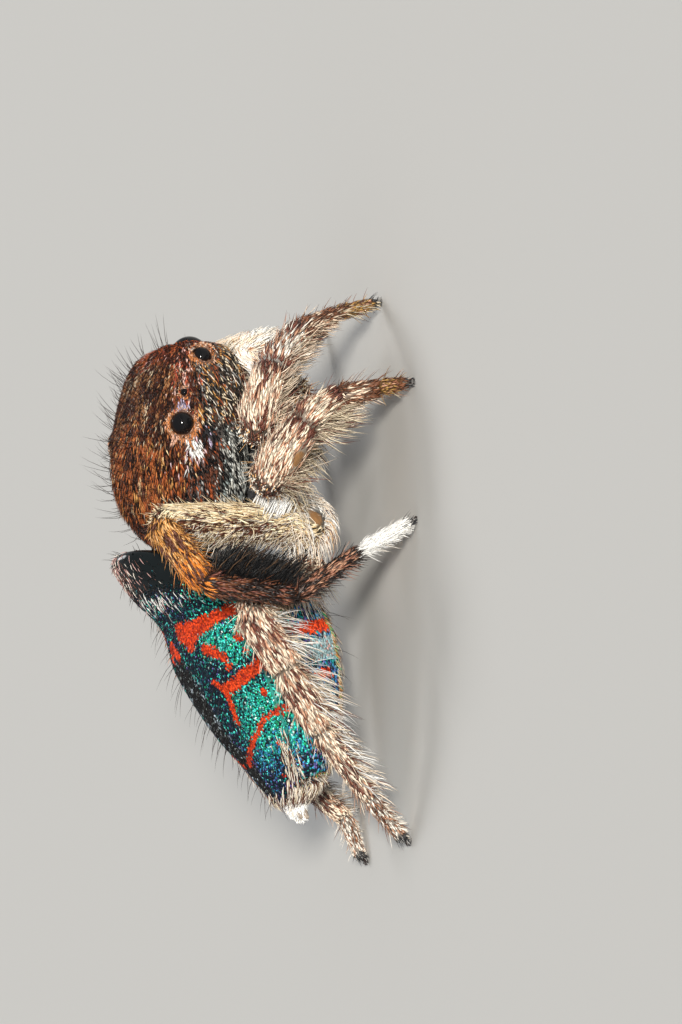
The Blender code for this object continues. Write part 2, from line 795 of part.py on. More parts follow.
def carapace_point(forward, turn):
    """A point on the carapace and the way out of it, at a turn round from the top."""
    stations = sorted(CARAPACE_STATIONS)
    xs = [row[0] for row in stations]
    top, bottom, half_width = (
        np.interp(forward, xs, [row[k] for row in stations]) for k in (1, 2, 3)
    )
    centre = in_body(forward, 0.0, (top + bottom) / 2.0)
    rise = (top - bottom) / 2.0
    c, s = math.cos(turn), math.sin(turn)
    x = math.copysign(abs(s) ** (2.0 / CARAPACE_SQUARENESS), s)
    y = math.copysign(abs(c) ** (2.0 / CARAPACE_SQUARENESS), c)
    point = centre + RIGHT * half_width * x + UPWARD * rise * y
    return point, unit(RIGHT * s * rise + UPWARD * c * half_width)


def head_bristles():
    """Long bristles that stand over the head, leaning towards the face."""
    locks = []
    for row, (forward, count) in enumerate(HEAD_BRISTLE_ROWS):
        for k in range(count):
            turn = HEAD_BRISTLE_SPREAD * (2.0 * (k + 0.5 * (row % 2)) / (count - 0.5) - 1.0)
            point, out = carapace_point(forward, turn)
            outward = unit(out + HEAD_BRISTLE_LEAN * FORWARD)
            locks.append(
                Lock(point, outward, FORWARD, HEAD_BRISTLE_LENGTH, HEAD_BRISTLE_WIDTH, True)
            )
    return locks


def face_locks():
    """Short locks along the lower edge of the face, hanging over the jaws."""
    locks = []
    for k in range(FACE_LOCKS):
        share = 2.0 * k / (FACE_LOCKS - 1) - 1.0
        forward, up = FACE_LOCK_PLACE
        root = in_body(forward - FACE_CURVE * share * share, FACE_LOCK_SPAN * share, up)
        outward = unit(FORWARD + FACE_LOCK_LEAN[0] * share * RIGHT + FACE_LOCK_LEAN[1] * UPWARD)
        locks.append(Lock(root, outward, -UPWARD, FACE_LOCK_LENGTH))
    return locks


def build_head():
    """The carapace with a socket for each eye, the eyes and the plate below."""
    carapace = mesh_object(
        "carapace", body_loft(CARAPACE_STATIONS, CARAPACE_SIDES, CARAPACE_SQUARENESS)
    )
    sockets = []
    eyes = []
    for eye, (forward, right, up, radius) in EYES.items():
        for side, sign in SIDES:
            centre = in_body(forward, sign * right, up)
            outward = FORWARD if eye == "ame" else sign * RIGHT
            facets = EYE_FACETS[eye]
            socket = ball_shape(centre, radius + EYE_GAP, outward, *facets)
            sockets.append(mesh_object("socket", socket))
            ball = ball_shape(centre, radius, outward, *facets)
            eyes.append(mesh_object(f"eye_{eye}_{side}", ball))
    apply_boolean(carapace, sockets, "DIFFERENCE", "EXACT")
    keep_largest(carapace)
    nodes = {"carapace": (carapace, "carapace")}
    for eye in eyes:
        nodes[eye.name] = (eye, "eye")
    sternum = body_loft(STERNUM_STATIONS, STERNUM_SIDES, SQUARENESS_LOW)
    nodes["sternum"] = (mesh_object("sternum", sternum), "under")
    return nodes


def palp_locks(path, sign):
    """Locks on the front and outer side of a palp's last length."""
    fall = unit(path[2] - path[1])
    locks = []
    for k in range(PALP_LOCKS):
        share = PALP_LOCK_FROM + (PALP_LOCK_TO - PALP_LOCK_FROM) * k / (PALP_LOCKS - 1)
        turn = math.radians(PALP_LOCK_SPREAD * ((k % 3) - 1) + PALP_LOCK_TURN)
        front = across(fall, FORWARD)
        side = across(fall, sign * RIGHT)
        outward = unit(math.cos(turn) * front + math.sin(turn) * side)
        radius = PALP_BULB_RADII[1] + share * (PALP_BULB_RADII[2] - PALP_BULB_RADII[1])
        root = path[1] + share * (path[2] - path[1]) + PALP_LOCK_DEPTH * radius * outward
        locks.append(Lock(root, outward, fall, PALP_LOCK_LENGTH))
    return locks


def fang_path(tip, inward):
    """The fang's three places, from inside the jaw to its point."""
    reach = FANG_REACH
    return [
        tip + 0.2 * reach * UPWARD,
        tip - 0.65 * reach * UPWARD + 0.15 * reach * inward,
        tip - 1.25 * reach * UPWARD + 0.45 * reach * inward - 0.2 * reach * FORWARD,
    ]


def build_jaw(side, sign):
    """One jaw with its fang."""
    path = [in_body(f, sign * r, u) for f, r, u in CHELICERA_PATH]
    jaw = mesh_object(
        f"chelicera_{side}", rounded_tube(path, CHELICERA_RADII, JAW_SIDES, False, True)
    )
    radii = [FANG_RADIUS * share for share in FANG_TAPER]
    fang = rounded_tube(fang_path(path[-1], -sign * RIGHT), radii, FANG_SIDES)
    apply_boolean(jaw, [mesh_object("fang", fang)], "UNION", "EXACT")
    keep_largest(jaw)
    return jaw


def palp_paths(sign):
    """The joint places of a palp's femur and of its bulb."""
    femur = [in_body(f, sign * r, u) for f, r, u in PALP_FEMUR_PATH]
    bulb = [in_body(f, sign * r, u) for f, r, u in PALP_BULB_PATH]
    return femur, bulb


def build_palp(side, sign):
    """The femur of a palp and the bulb that hangs from it."""
    femur, bulb = palp_paths(sign)
    bend = unit(unit(femur[-1] - femur[-2]) + unit(bulb[1] - bulb[0]))
    stations = [
        (femur[0], unit(femur[1] - femur[0]), PALP_FEMUR_RADII[0]),
        (femur[1], unit(femur[2] - femur[0]), PALP_FEMUR_RADII[1]),
        (femur[2] - 0.5 * JOINT_GAP * bend, bend, PALP_FEMUR_RADII[2]),
    ]
    upper = mesh_object(f"palp_{side}_femur", tube(stations, LEG_SIDES, LEAN_UP))
    fall = unit(bulb[2] - bulb[1])
    share, taper = PALP_BULB_MIDDLE
    stations = [
        (bulb[0] + 0.5 * JOINT_GAP * bend, bend, PALP_BULB_RADII[0]),
        (bulb[1], unit(bulb[2] - bulb[0]), PALP_BULB_RADII[1]),
        (bulb[1] + share * (bulb[2] - bulb[1]), fall, PALP_BULB_RADII[1] * taper),
        (bulb[2], fall, PALP_BULB_RADII[2]),
    ]
    end = bulb[2] + PALP_BULB_TIP * PALP_BULB_RADII[2] * fall
    lower = mesh_object(f"palp_{side}_cymbium", tube(stations, LEG_SIDES, LEAN_UP, None, end))
    return upper, lower


def build_mouth():
    """The jaws and the palps."""
    nodes = {}
    for side, sign in SIDES:
        nodes[f"chelicera_{side}"] = (build_jaw(side, sign), "chelicera")
        upper, lower = build_palp(side, sign)
        nodes[f"palp_{side}_femur"] = (upper, "palp")
        nodes[f"palp_{side}_cymbium"] = (lower, "palp")
    return nodes


def abdomen_locks(station, back, turns, lie, length):
    """Locks round one ring of the abdomen, leaning back along it."""
    ring = abdomen_ring(station, 0.0, turns)
    middle = (mid_plane(*station[0:2]) + mid_plane(*station[2:4])) / 2.0
    return [Lock(p, unit(unit(p - middle) + lie * back), back, length) for p in ring]


def rear_locks():
    """Pale tufts round the abdomen's rear."""
    back = unit(mid_plane(*ABDOMEN_REAR) - mid_plane(*ABDOMEN_FRONT))
    half = REAR_LOCKS // 2
    turns = [2.0 * math.pi * (k + 0.5) / half for k in range(half)]
    locks = abdomen_locks(ABDOMEN_STATIONS[-2], back, turns, 0.6, REAR_LOCK_LENGTH)
    turns = [2.0 * math.pi * k / half for k in range(half)]
    return locks + abdomen_locks(ABDOMEN_STATIONS[-1], back, turns, 0.9, REAR_LOCK_LENGTH)


def edge_locks():
    """Short tufts over the raised front edge of the abdomen."""
    ahead = unit(mid_plane(*ABDOMEN_FRONT) - mid_plane(*ABDOMEN_REAR))
    turns = [EDGE_LOCK_SPREAD * (2.0 * k / (EDGE_LOCKS - 1) - 1.0) for k in range(EDGE_LOCKS)]
    return abdomen_locks(ABDOMEN_STATIONS[1], -ahead, turns, -0.2, EDGE_LOCK_LENGTH)


def build_abdomen():
    """The stalk, the abdomen, the two flaps of the folded fan and the spinnerets."""
    ends = [in_body(f, 0.0, PEDICEL_HEIGHT) for f in PEDICEL_ENDS]
    stalk = rounded_tube(ends, (PEDICEL_RADIUS, PEDICEL_RADIUS), LEG_SIDES, False, False)
    path = [mid_plane(y, z) for y, z in SPINNERET_PATH]
    tip = rounded_tube(path, SPINNERET_RADII, SPINNERET_SIDES, False, True)
    nodes = {
        "pedicel": (mesh_object("pedicel", stalk), "under"),
        "abdomen": (mesh_object("abdomen", abdomen_shape()), "abdomen"),
        "spinnerets": (mesh_object("spinnerets", tip), "spinneret"),
    }
    for side, sign in SIDES:
        name = f"fan_flap_{side}"
        nodes[name] = (mesh_object(name, flap_shape(sign)), "fan")
    return nodes


def leg_fringe(leg, side, part, chance):
    """The fringe of one length of a leg, towards the floor or in the leg's bend."""
    joints, radii = leg_joints(leg, side), LEG_RADII[leg]
    steps = [unit(b - a) for a, b in zip(joints, joints[1:])]
    first, last = {"femur": (0, 1), "tibia": (1, 3), "tarsus": (3, 5)}[part]
    if leg in FRINGE_IN_THE_BEND and part != "tarsus":
        toward = steps[first + 1 : last + 1]
    else:
        toward = [FLOORWARD] * (last - first)
    path = joints[first:last] + [joints[last]]
    if part == "tarsus":
        path[-1] = joints[5] + FOOT_BARE * (joints[4] - joints[5])
    return fringe(path, radii[first : last + 1], toward, FRINGES[leg, part], chance)


def build_legs():
    """Four nodes for each of the eight legs."""
    nodes = {}
    for leg, side in LEG_POSE:
        last = "tarsus_white" if leg == "iii" else "leg"
        middle = "leg_dark" if leg == "iii" else "leg"
        for part, shape, slot in (
            ("coxa", coxa_shape, "under"),
            ("femur", femur_shape, "leg"),
            ("tibia", tibia_shape, middle),
            ("tarsus", tarsus_shape, last),
        ):
            name = f"leg_{leg}_{side}_{part}"
            nodes[name] = (mesh_object(name, shape(leg, side)), slot)
    return nodes


def all_locks():
    """The locks of every node that carries some."""
    chance = random.Random(SEED)
    locks = {
        "carapace": head_bristles() + face_locks(),
        "abdomen": rear_locks() + edge_locks(),
    }
    for side, sign in SIDES:
        locks[f"palp_{side}_cymbium"] = palp_locks(palp_paths(sign)[1], sign)
    for leg, side in LEG_POSE:
        for part in ("femur", "tibia", "tarsus"):
            locks[f"leg_{leg}_{side}_{part}"] = leg_fringe(leg, side, part, chance)
    return locks


def main():
    for obj in list(bpy.data.objects):
        bpy.data.objects.remove(obj)
    surfaces = {
        "carapace": material("carapace", 0.55),
        "eye": material("eye", 0.05),
        "under": material("under", 0.6),
        "palp": material("palp", 0.6),
        "chelicera": material("chelicera", 0.4),
        "leg": material("leg", 0.6),
        "leg_dark": material("leg_dark", 0.55),
        "tarsus_white": material("tarsus_white", 0.6),
        "abdomen": material("abdomen", 0.35, 0.4),
        "fan": material("fan", 0.45),
        "spinneret": material("spinneret", 0.6),
    }
    nodes = {**build_head(), **build_mouth(), **build_abdomen(), **build_legs()}
    neighbours = Neighbours(nodes)
    for name, locks in all_locks().items():
        join_locks(nodes[name][0], neighbours.grow(name, locks))
    for obj, slot in nodes.values():
        finish(obj, surfaces[slot])


main()
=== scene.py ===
"""A male peacock spider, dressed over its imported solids: skin, eyes, scales and hair.

Lengths are in millimetres in the design frame of the solids, and become metres in the meshes.
The head faces -Y, +Z is up, the floor is Z = 0 and the animal's right side faces -X.
"""

import logging
import math
from dataclasses import dataclass, field, replace
from enum import Enum, IntEnum

import bpy
import numpy as np
from mathutils import Matrix, Vector


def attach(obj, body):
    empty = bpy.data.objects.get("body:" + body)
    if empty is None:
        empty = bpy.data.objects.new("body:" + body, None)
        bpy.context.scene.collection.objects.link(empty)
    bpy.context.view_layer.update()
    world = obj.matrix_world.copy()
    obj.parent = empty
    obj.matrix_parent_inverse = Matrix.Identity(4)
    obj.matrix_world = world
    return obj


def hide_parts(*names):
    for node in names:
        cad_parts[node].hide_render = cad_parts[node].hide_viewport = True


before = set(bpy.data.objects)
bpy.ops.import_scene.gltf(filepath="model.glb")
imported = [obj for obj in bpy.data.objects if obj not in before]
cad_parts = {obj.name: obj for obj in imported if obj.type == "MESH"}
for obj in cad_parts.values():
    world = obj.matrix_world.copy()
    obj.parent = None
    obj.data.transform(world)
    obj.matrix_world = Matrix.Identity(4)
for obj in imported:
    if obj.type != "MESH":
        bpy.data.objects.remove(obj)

LOG = logging.getLogger("scene")
Array = np.ndarray
Chance = np.random.Generator
Colour = tuple[float, float, float]
Mix = list[tuple] | tuple[tuple, ...]
MM = 0.001
FULL_TURN = 2.0 * math.pi
CENTRE_SHIFT = np.array((-0.670, -1.244, 0.0))
SEED = 20

# Head and chest: a frame that leans to the right and dips at the face
BODY_ORIGIN = np.array((0.12, -0.058, 1.499))
LEAN = math.radians(15.0)
DIP = math.radians(2.6)
LEAN_UP = np.array((-math.sin(LEAN), 0.0, math.cos(LEAN)))
RIGHT = np.array((-math.cos(LEAN), 0.0, -math.sin(LEAN)))
AHEAD = np.array((0.0, -1.0, 0.0))
FLOORWARD = np.array((0.0, 0.0, -1.0))
FORWARD = math.cos(DIP) * AHEAD - math.sin(DIP) * LEAN_UP
UPWARD = math.cos(DIP) * LEAN_UP + math.sin(DIP) * AHEAD
# How far the skin lies inside the solids, and the least size of a ring
COAT_DEPTH = 0.020
LEG_COAT_DEPTH = 0.030
LEAST = 0.004

# Colours, linear
RUST = (0.36, 0.085, 0.028)
BRICK = (0.34, 0.092, 0.028)
GARNET = (0.36, 0.080, 0.050)
SIENNA = (0.38, 0.085, 0.045)
COPPER = (0.52, 0.18, 0.055)
TERRACOTTA = (0.50, 0.19, 0.07)
MAROON = (0.062, 0.017, 0.010)
UMBER = (0.018, 0.008, 0.006)
COCOA = (0.20, 0.068, 0.026)
BROWN = (0.13, 0.045, 0.026)
MAHOGANY = (0.17, 0.055, 0.036)
RUSSET = (0.17, 0.062, 0.028)
CHESTNUT = (0.20, 0.075, 0.035)
CARAMEL = (0.34, 0.16, 0.07)
OCHRE = (0.62, 0.31, 0.10)
GOLD = (0.56, 0.27, 0.08)
HONEY = (0.54, 0.25, 0.065)
# Painted highlight colour: bright orange at the display leg's knee.
HIGHLIGHT_ORANGE = (0.74, 0.24, 0.035)
AMBER = (0.42, 0.24, 0.07)
TAWNY = (0.72, 0.42, 0.18)
# Painted highlight colour: pale glints on the rust strokes of the head's back.
APRICOT_HIGHLIGHT = (0.86, 0.60, 0.34)
OLIVE = (0.64, 0.48, 0.27)
SAND = (0.60, 0.48, 0.34)
DOWN = (0.62, 0.51, 0.37)
STRAW = (0.74, 0.63, 0.46)
WHEAT = (0.90, 0.76, 0.54)
SHELL = (0.92, 0.76, 0.60)
BUFF = (0.50, 0.27, 0.17)
PEACH = (0.62, 0.36, 0.26)
ROSE = (0.62, 0.36, 0.33)
CORAL = (0.72, 0.46, 0.40)
BLUSH = (0.62, 0.44, 0.46)
PINK = (0.70, 0.50, 0.55)
LILAC = (0.42, 0.36, 0.50)
CREAM = (0.80, 0.63, 0.48)
WARM_WHITE = (0.86, 0.79, 0.70)
WHITE = (0.88, 0.87, 0.85)
PURE_WHITE = (1.0, 1.0, 1.0)
SILVER = (0.66, 0.68, 0.66)
GREY = (0.42, 0.42, 0.39)
ASH = (0.33, 0.32, 0.31)
STEEL = (0.23, 0.27, 0.27)
CHARCOAL = (0.035, 0.035, 0.038)
SOOT = (0.006, 0.006, 0.007)
LENS_EDGE = (0.030, 0.012, 0.006)
DISC = (0.27, 0.135, 0.050)
NAVY = (0.003, 0.010, 0.024)
MIDNIGHT = (0.005, 0.040, 0.080)
TEAL = (0.010, 0.30, 0.30)
TURQUOISE = (0.03, 0.80, 0.64)
GLINT = (0.12, 0.92, 0.80)
SPARK = (0.70, 1.0, 0.95)
GREEN = (0.02, 0.55, 0.22)
BLUE = (0.05, 0.28, 0.62)
VIOLET = (0.14, 0.12, 0.40)
PALE_BLUE = (0.33, 0.50, 0.54)
ICE = (0.60, 0.70, 0.80)
SCARLET = (0.80, 0.068, 0.010)
BLOOD = (0.42, 0.022, 0.010)


class Side(Enum):
    """The animal's sides, with the sign of each."""

    RIGHT = 1.0
    LEFT = -1.0

    @property
    def word(self) -> str:
        """The side as the pieces' names have it."""
        return self.name.lower()


class Slot(Enum):
    """The record's material slots."""

    CARAPACE = "carapace"
    EYE = "eye"
    CHELICERA = "chelicera"
    PALP = "palp"
    LEG = "leg"
    ABDOMEN = "abdomen"
    FAN = "fan"
    SPINNERET = "spinneret"


def unit(vectors: Array) -> Array:
    """The vectors at length one."""
    return vectors / np.maximum(np.linalg.norm(vectors, axis=-1, keepdims=True), 1e-12)


def square_to(direction: Array, hint: Array) -> Array:
    """The unit vectors nearest to a hint that are square to a direction."""
    return unit(hint - direction * np.sum(direction * hint, axis=-1, keepdims=True))


def in_body(forward: Array, right: Array, up: Array) -> Array:
    """Design points given by their distances in the leaning frame of the head."""
    f, r, u = (np.asarray(q, float)[..., None] for q in (forward, right, up))
    return BODY_ORIGIN + f * FORWARD + r * RIGHT + u * UPWARD


def to_body(points: Array) -> tuple[Array, Array, Array]:
    """The forward, right and up distances of points in the leaning frame of the head."""
    away = points - BODY_ORIGIN
    return away @ FORWARD, away @ RIGHT, away @ UPWARD


def mid_plane(y: float, z: float) -> Array:
    """The point of the animal's leaning mid-plane that has this Y and Z."""
    return np.array((BODY_ORIGIN[0] - math.tan(LEAN) * (z - BODY_ORIGIN[2]), y, z))


def distance(points: Array, centre: Array) -> Array:
    """How far points lie from a centre."""
    return np.linalg.norm(points - centre, axis=-1)


def from_top(turn: Array) -> Array:
    """How far turns lie from the top, either way round."""
    return np.abs(np.arctan2(np.sin(turn), np.cos(turn)))


def ramp(values: Array, low: float, high: float) -> Array:
    """A smooth step from 0 at low to 1 at high, which may be the smaller of the two."""
    t = np.clip((values - low) / (high - low), 0.0, 1.0)
    return t * t * (3.0 - 2.0 * t)


def near(values: Array, middle: float, reach: float) -> Array:
    """A soft bump: 1 at the middle, falling off over the reach."""
    return np.exp(-(((values - middle) / reach) ** 2))


def smooth_rows(rows: Array, at: Array) -> Array:
    """Reads a smooth curve through rows of values.

    Args:
        rows: The rows.
        at: Places along them, counted in rows.

    Returns:
        One row of values for each place.
    """
    rows = np.asarray(rows, float)
    last = len(rows) - 1
    low = np.clip(np.floor(at).astype(int), 0, last - 1)
    t = (at - low)[:, None]
    before, a = rows[np.maximum(low - 1, 0)], rows[low]
    b, after = rows[low + 1], rows[np.minimum(low + 2, last)]
    square = 2 * before - 5 * a + 4 * b - after
    cube = 3 * a - before - 3 * b + after
    return 0.5 * (2 * a + (b - before) * t + square * t**2 + cube * t**3)


def mixed(zones: dict[str, Array], palette: dict[str, Mix]) -> Mix:
    """Pairs of weight and colour, from the share of each zone and the palette's mix for it."""
    return [(zones[zone] * share, colour) for zone, mix in palette.items() for share, colour in mix]


def choose(pick: Array, options: Mix) -> Array:
    """Gives each element one of several colours.

    Args:
        pick: A random number from 0 to 1 for each element.
        options: Pairs of weight, one or an array, and colour.

    Returns:
        A colour for each element.
    """
    weights = np.array([np.broadcast_to(w, pick.shape) for w, _ in options])
    limit = np.cumsum(weights, axis=0) / np.maximum(weights.sum(axis=0), 1e-9)
    index = np.minimum((pick[None] > limit).sum(axis=0), len(options) - 1)
    return np.array([c for _, c in options])[index]


def average(options: Mix) -> Array:
    """The mean of several colours by weight, place by place."""
    weights, colours = np.stack([w for w, _ in options], -1), np.array([c for _, c in options])
    return (weights @ colours) / np.maximum(weights.sum(axis=-1), 1e-9)[..., None]


def shaded(chance: Chance, tint: Array | Colour, least: float, most: float, count: int) -> Array:
    """Colours made darker or lighter at random, one for each element."""
    return np.asarray(tint) * chance.uniform(least, most, count)[:, None]


def clumps(chance: Chance, along: Array, across: Array, long: float, wide: float) -> Array:
    """One random number for each lock of a coat, so that neighbours look alike.

    Args:
        chance: The seeded source of chance.
        along: Distance of each root along the lie.
        across: Its distance across the lie.
        long: How long a lock is.
        wide: How wide it is.

    Returns:
        Numbers from 0 to 1.
    """
    slots, like_its_lock = 4093, 0.78
    table = chance.random(slots)
    column = np.floor(across / wide).astype(int)
    row = np.floor(along / long + 7.0 * table[column % slots]).astype(int)
    lock = table[(column * 131 + row * 1013) % slots]
    return np.where(chance.random(len(along)) < like_its_lock, lock, chance.random(len(along)))


@dataclass
class Roots:
    """Where scales or hairs leave a surface."""

    place: Array
    normal: Array
    along: Array
    row: Array
    turn: Array
    uv: Array

    def __len__(self) -> int:
        """How many there are."""
        return len(self.place)

    def keep(self, chosen: Array) -> "Roots":
        """The roots that a mask chooses."""
        return Roots(*(values[chosen] for values in vars(self).values()))

    def sway(self, chance: Chance, lie: Array, spread: float) -> Array:
        """The lie of each, turned to one side or the other at random."""
        side = np.cross(self.normal, lie)
        return unit(lie + chance.normal(0.0, spread, len(self))[:, None] * side)

    def room(self, gap: float, least: float) -> Array:
        """How long hair may be that would reach the floor, less a gap."""
        return np.maximum(self.place[:, 2] - gap, least)


@dataclass
class Sheet:
    """A surface as a grid of points that closes across its columns."""

    points: Array
    patch: tuple[float, float, float, float] = (0.0, 0.0, 1.0, 1.0)
    normals: Array = field(init=False)
    alongs: Array = field(init=False)
    sound: Array = field(init=False)

    def __post_init__(self) -> None:
        """Finds the normals, and which cells are sound enough to carry a coat."""
        p = self.points
        along = np.gradient(p, axis=0)
        normal = unit(np.cross(along, np.roll(p, -1, axis=1) - np.roll(p, 1, axis=1)))
        out = unit(p - p.mean(axis=1, keepdims=True))
        facing = np.sum(normal * out, axis=2, keepdims=True)
        sign = -1.0 if facing.mean() < 0.0 else 1.0
        self.normals = sign * normal
        self.sound = (sign * facing[..., 0] > 0.05).astype(float)
        self.alongs = unit(along)

    @property
    def rows(self) -> int:
        """How many rows the grid has."""
        return self.points.shape[0]

    @property
    def columns(self) -> int:
        """How many columns the grid has."""
        return self.points.shape[1]

    def read(self, grid: Array, row: Array, column: Array) -> Array:
        """Reads a grid between its points.

        Args:
            grid: Values on the sheet's grid.
            row: Places along the rows.
            column: Places across the columns.

        Returns:
            A value for each place.
        """
        a = np.clip(np.floor(row).astype(int), 0, self.rows - 2)
        b = np.floor(column).astype(int) % self.columns
        c = (b + 1) % self.columns
        s, t = (row - a)[:, None], (column - np.floor(column))[:, None]
        upper = grid[a, b] * (1 - t) + grid[a, c] * t
        lower = grid[a + 1, b] * (1 - t) + grid[a + 1, c] * t
        return upper * (1 - s) + lower * s

    def unwrap(self, row: Array, column: Array) -> Array:
        """Where places lie on the unwrap.

        Args:
            row: Places along the rows.
            column: Places across the columns, up to their count.

        Returns:
            A pair for each place.
        """
        left, bottom, width, height = self.patch
        u = left + width * (0.01 + 0.98 * column / self.columns)
        v = bottom + height * (0.01 + 0.98 * row / (self.rows - 1))
        return np.stack([u, v], axis=-1)

    def plant(self, count: int, chance: Chance, weight: Array | float = 1.0) -> Roots:
        """Spreads roots over the sheet by area.

        Args:
            count: How many.
            chance: The seeded source of chance.
            weight: How much each grid point carries, from 0.

        Returns:
            The roots.
        """
        p = self.points
        cell = np.cross(p[1:] - p[:-1], np.roll(p, -1, axis=1)[:-1] - p[:-1])
        carried = np.broadcast_to(weight, p.shape[:2])[:-1]
        area = np.linalg.norm(cell, axis=2) * self.sound[:-1] * np.maximum(carried, 0.0)
        total = np.cumsum(area.ravel())
        count = count if total[-1] > 0.0 else 0
        spots = (np.arange(count) + chance.random(count)) / max(count, 1) * total[-1]
        index = np.minimum(np.searchsorted(total, spots), total.size - 1)
        row = index // self.columns + chance.random(count)
        column = index % self.columns + chance.random(count)
        return Roots(
            self.read(p, row, column),
            unit(self.read(self.normals, row, column)),
            unit(self.read(self.alongs, row, column)),
            row,
            FULL_TURN * column / self.columns,
            self.unwrap(row, column),
        )


@dataclass
class Batch:
    """Triangles with a place on the unwrap and a colour at each point."""

    points: Array
    faces: Array
    uv: Array
    tint: Array
    corner_uv: Array | None = None

    @staticmethod
    def join(batches: list["Batch"]) -> "Batch":
        """Puts batches together.

        Args:
            batches: The batches.

        Returns:
            One batch.
        """
        starts = np.cumsum([0] + [len(b.points) for b in batches[:-1]])
        corners = [b.uv[b.faces.ravel()] if b.corner_uv is None else b.corner_uv for b in batches]
        return Batch(
            np.concatenate([b.points for b in batches]),
            np.concatenate([b.faces + s for b, s in zip(batches, starts)]),
            np.concatenate([b.uv for b in batches]),
            np.concatenate([b.tint for b in batches]),
            np.concatenate(corners),
        )


# Half the size of a tuft's patch on the unwrap
HALF_PATCH = 0.0015


@dataclass(frozen=True)
class Shape:
    """A small form that a coat repeats: faces, places on its patch, and shading by point."""

    faces: tuple
    spread: tuple
    shade: tuple

    def repeat(self, points: Array, roots: Roots, tint: Array) -> Batch:
        """Copies of the form.

        Args:
            points: The points of each copy.
            roots: Where each leaves the surface.
            tint: The colour of each.

        Returns:
            The copies.
        """
        copy = np.arange(len(points))[:, None, None]
        faces = np.array(self.faces)[None] + points.shape[1] * copy
        uv = roots.uv[:, None, :] + HALF_PATCH * np.array(self.spread)[None]
        shade = tint[:, None, :] * np.array(self.shade)[None, :, None]
        flat = (points.reshape(-1, 3), faces.reshape(-1, 3), uv.reshape(-1, 2), shade.reshape(-1, 3))
        return Batch(*flat)


SCALE = Shape(
    ((5, 1, 3), (5, 4, 1), (5, 2, 4), (5, 3, 2), (0, 3, 1), (0, 1, 4), (0, 4, 2), (0, 2, 3)),
    ((0, -1), (-1, 0), (1, 0), (0.3, 0.2), (-0.3, 0.2), (0, 1)),
    (0.75, 0.95, 0.95, 1.05, 0.8, 1.1),
)
HAIR = Shape(
    (
        *((0, 2, 1), (0, 1, 4), (0, 4, 3), (1, 2, 5), (1, 5, 4), (2, 0, 3), (2, 3, 5), (3, 4, 7)),
        *((3, 7, 6), (4, 5, 8), (4, 8, 7), (5, 3, 6), (5, 6, 8), (6, 7, 9), (7, 8, 9), (8, 6, 9)),
    ),
    (*((x, y) for y in (-1.0, -0.3, 0.4) for x in (-1.0, 1.0, 0.0)), (0.0, 1.0)),
    (*(0.62,) * 3, *(0.95,) * 3, *(1.05,) * 3, 1.12),
)
# The rings of a hair: place along it and thickness there
HAIR_RINGS = ((0.0, 1.0), (0.38, 0.86), (0.74, 0.52))


def scales(
    roots: Roots,
    lie: Array,
    length: Array,
    width: Array,
    lift: Array,
    tint: Array,
    thickness: float = 0.12,
) -> Batch:
    """Flat pointed scales that lie on a surface, eight triangles each.

    Args:
        roots: Where they leave it.
        lie: The way each lies, square to the surface's normal.
        length: Their lengths.
        width: Their widths.
        lift: How far each stands off the surface, in radians.
        tint: Their colours.
        thickness: Half their thickness as a share of their width.

    Returns:
        The scales.
    """
    side = unit(np.cross(roots.normal, lie))
    c, s = np.cos(lift)[:, None], np.sin(lift)[:, None]
    ahead = c * lie + s * roots.normal
    rise = c * roots.normal - s * lie
    long, wide = length[:, None], width[:, None]
    middle = roots.place + 0.45 * long * ahead
    points = [
        roots.place - 0.05 * long * roots.normal,
        middle + 0.5 * wide * side,
        middle - 0.5 * wide * side,
        middle + thickness * wide * rise,
        middle - thickness * wide * rise,
        roots.place + long * ahead - 0.10 * long * rise,
    ]
    return SCALE.repeat(np.stack(points, axis=1), roots, tint)


def hairs(
    roots: Roots,
    out: Array,
    bend: Array,
    length: Array,
    radius: Array,
    tint: Array,
    flat: float = 1.0,
) -> Batch:
    """Tapered hairs that bend as they go, sixteen triangles each.

    Args:
        roots: Where they leave the surface.
        out: The way each starts.
        bend: What is added to it over the hair's length.
        length: Their lengths.
        radius: Their radii at the root.
        tint: Their colours.
        flat: Thickness across the bend as a share of the radius.

    Returns:
        The hairs.
    """
    out = unit(out)
    long = length[:, None]
    side = unit(np.cross(out, roots.normal) + 0.05 * np.cross(out, bend) + 1e-6)
    points = []
    for place, taper in HAIR_RINGS:
        centre = roots.place + long * (place * out + place * place * bend)
        across = square_to(unit(out + 2.0 * place * bend), side)
        rise = np.cross(unit(out + 2.0 * place * bend), across)
        if place == 0.0:
            centre = centre - 0.06 * long * out
        for turn in (0.0, FULL_TURN / 3.0, 2.0 * FULL_TURN / 3.0):
            edge = math.cos(turn) * across + flat * math.sin(turn) * rise
            points.append(centre + radius[:, None] * taper * edge)
    points.append(roots.place + long * (out + bend))
    return HAIR.repeat(np.stack(points, axis=1), roots, tint)


@dataclass(frozen=True)
class Tuft:
    """One kind of hair: its count, how far it strays, its colours and its sizes."""

    count: int
    stray: float
    colours: Mix
    length: tuple[float, float]
    radius: tuple[float, ...]
    flat: float = 1.0

    def grow(
        self,
        chance: Chance,
        roots: Roots,
        out: Array,
        bend: Array,
        longest: Array | float = math.inf,
        share: Array | float = 1.0,
    ) -> Batch:
        """Grows the hair.

        Args:
            chance: The seeded source of chance.
            roots: Where it leaves the surface.
            out: The way it starts.
            bend: What is added to it over its length.
            longest: The longest it may be.
            share: The share of its length that it gets.

        Returns:
            The hair.
        """
        n = len(roots)
        if self.stray:
            out = out + chance.normal(0.0, self.stray, (n, 3))
        tint = np.full((n, 3), self.colours[0][1])
        if len(self.colours) > 1:
            tint = choose(chance.random(n), self.colours)
        length = np.minimum(share * chance.uniform(*self.length, n), longest)
        radius = np.full(n, self.radius[0])
        if len(self.radius) > 1:
            radius = chance.uniform(*self.radius, n)
        return hairs(roots, out, bend, length, radius, tint, self.flat)


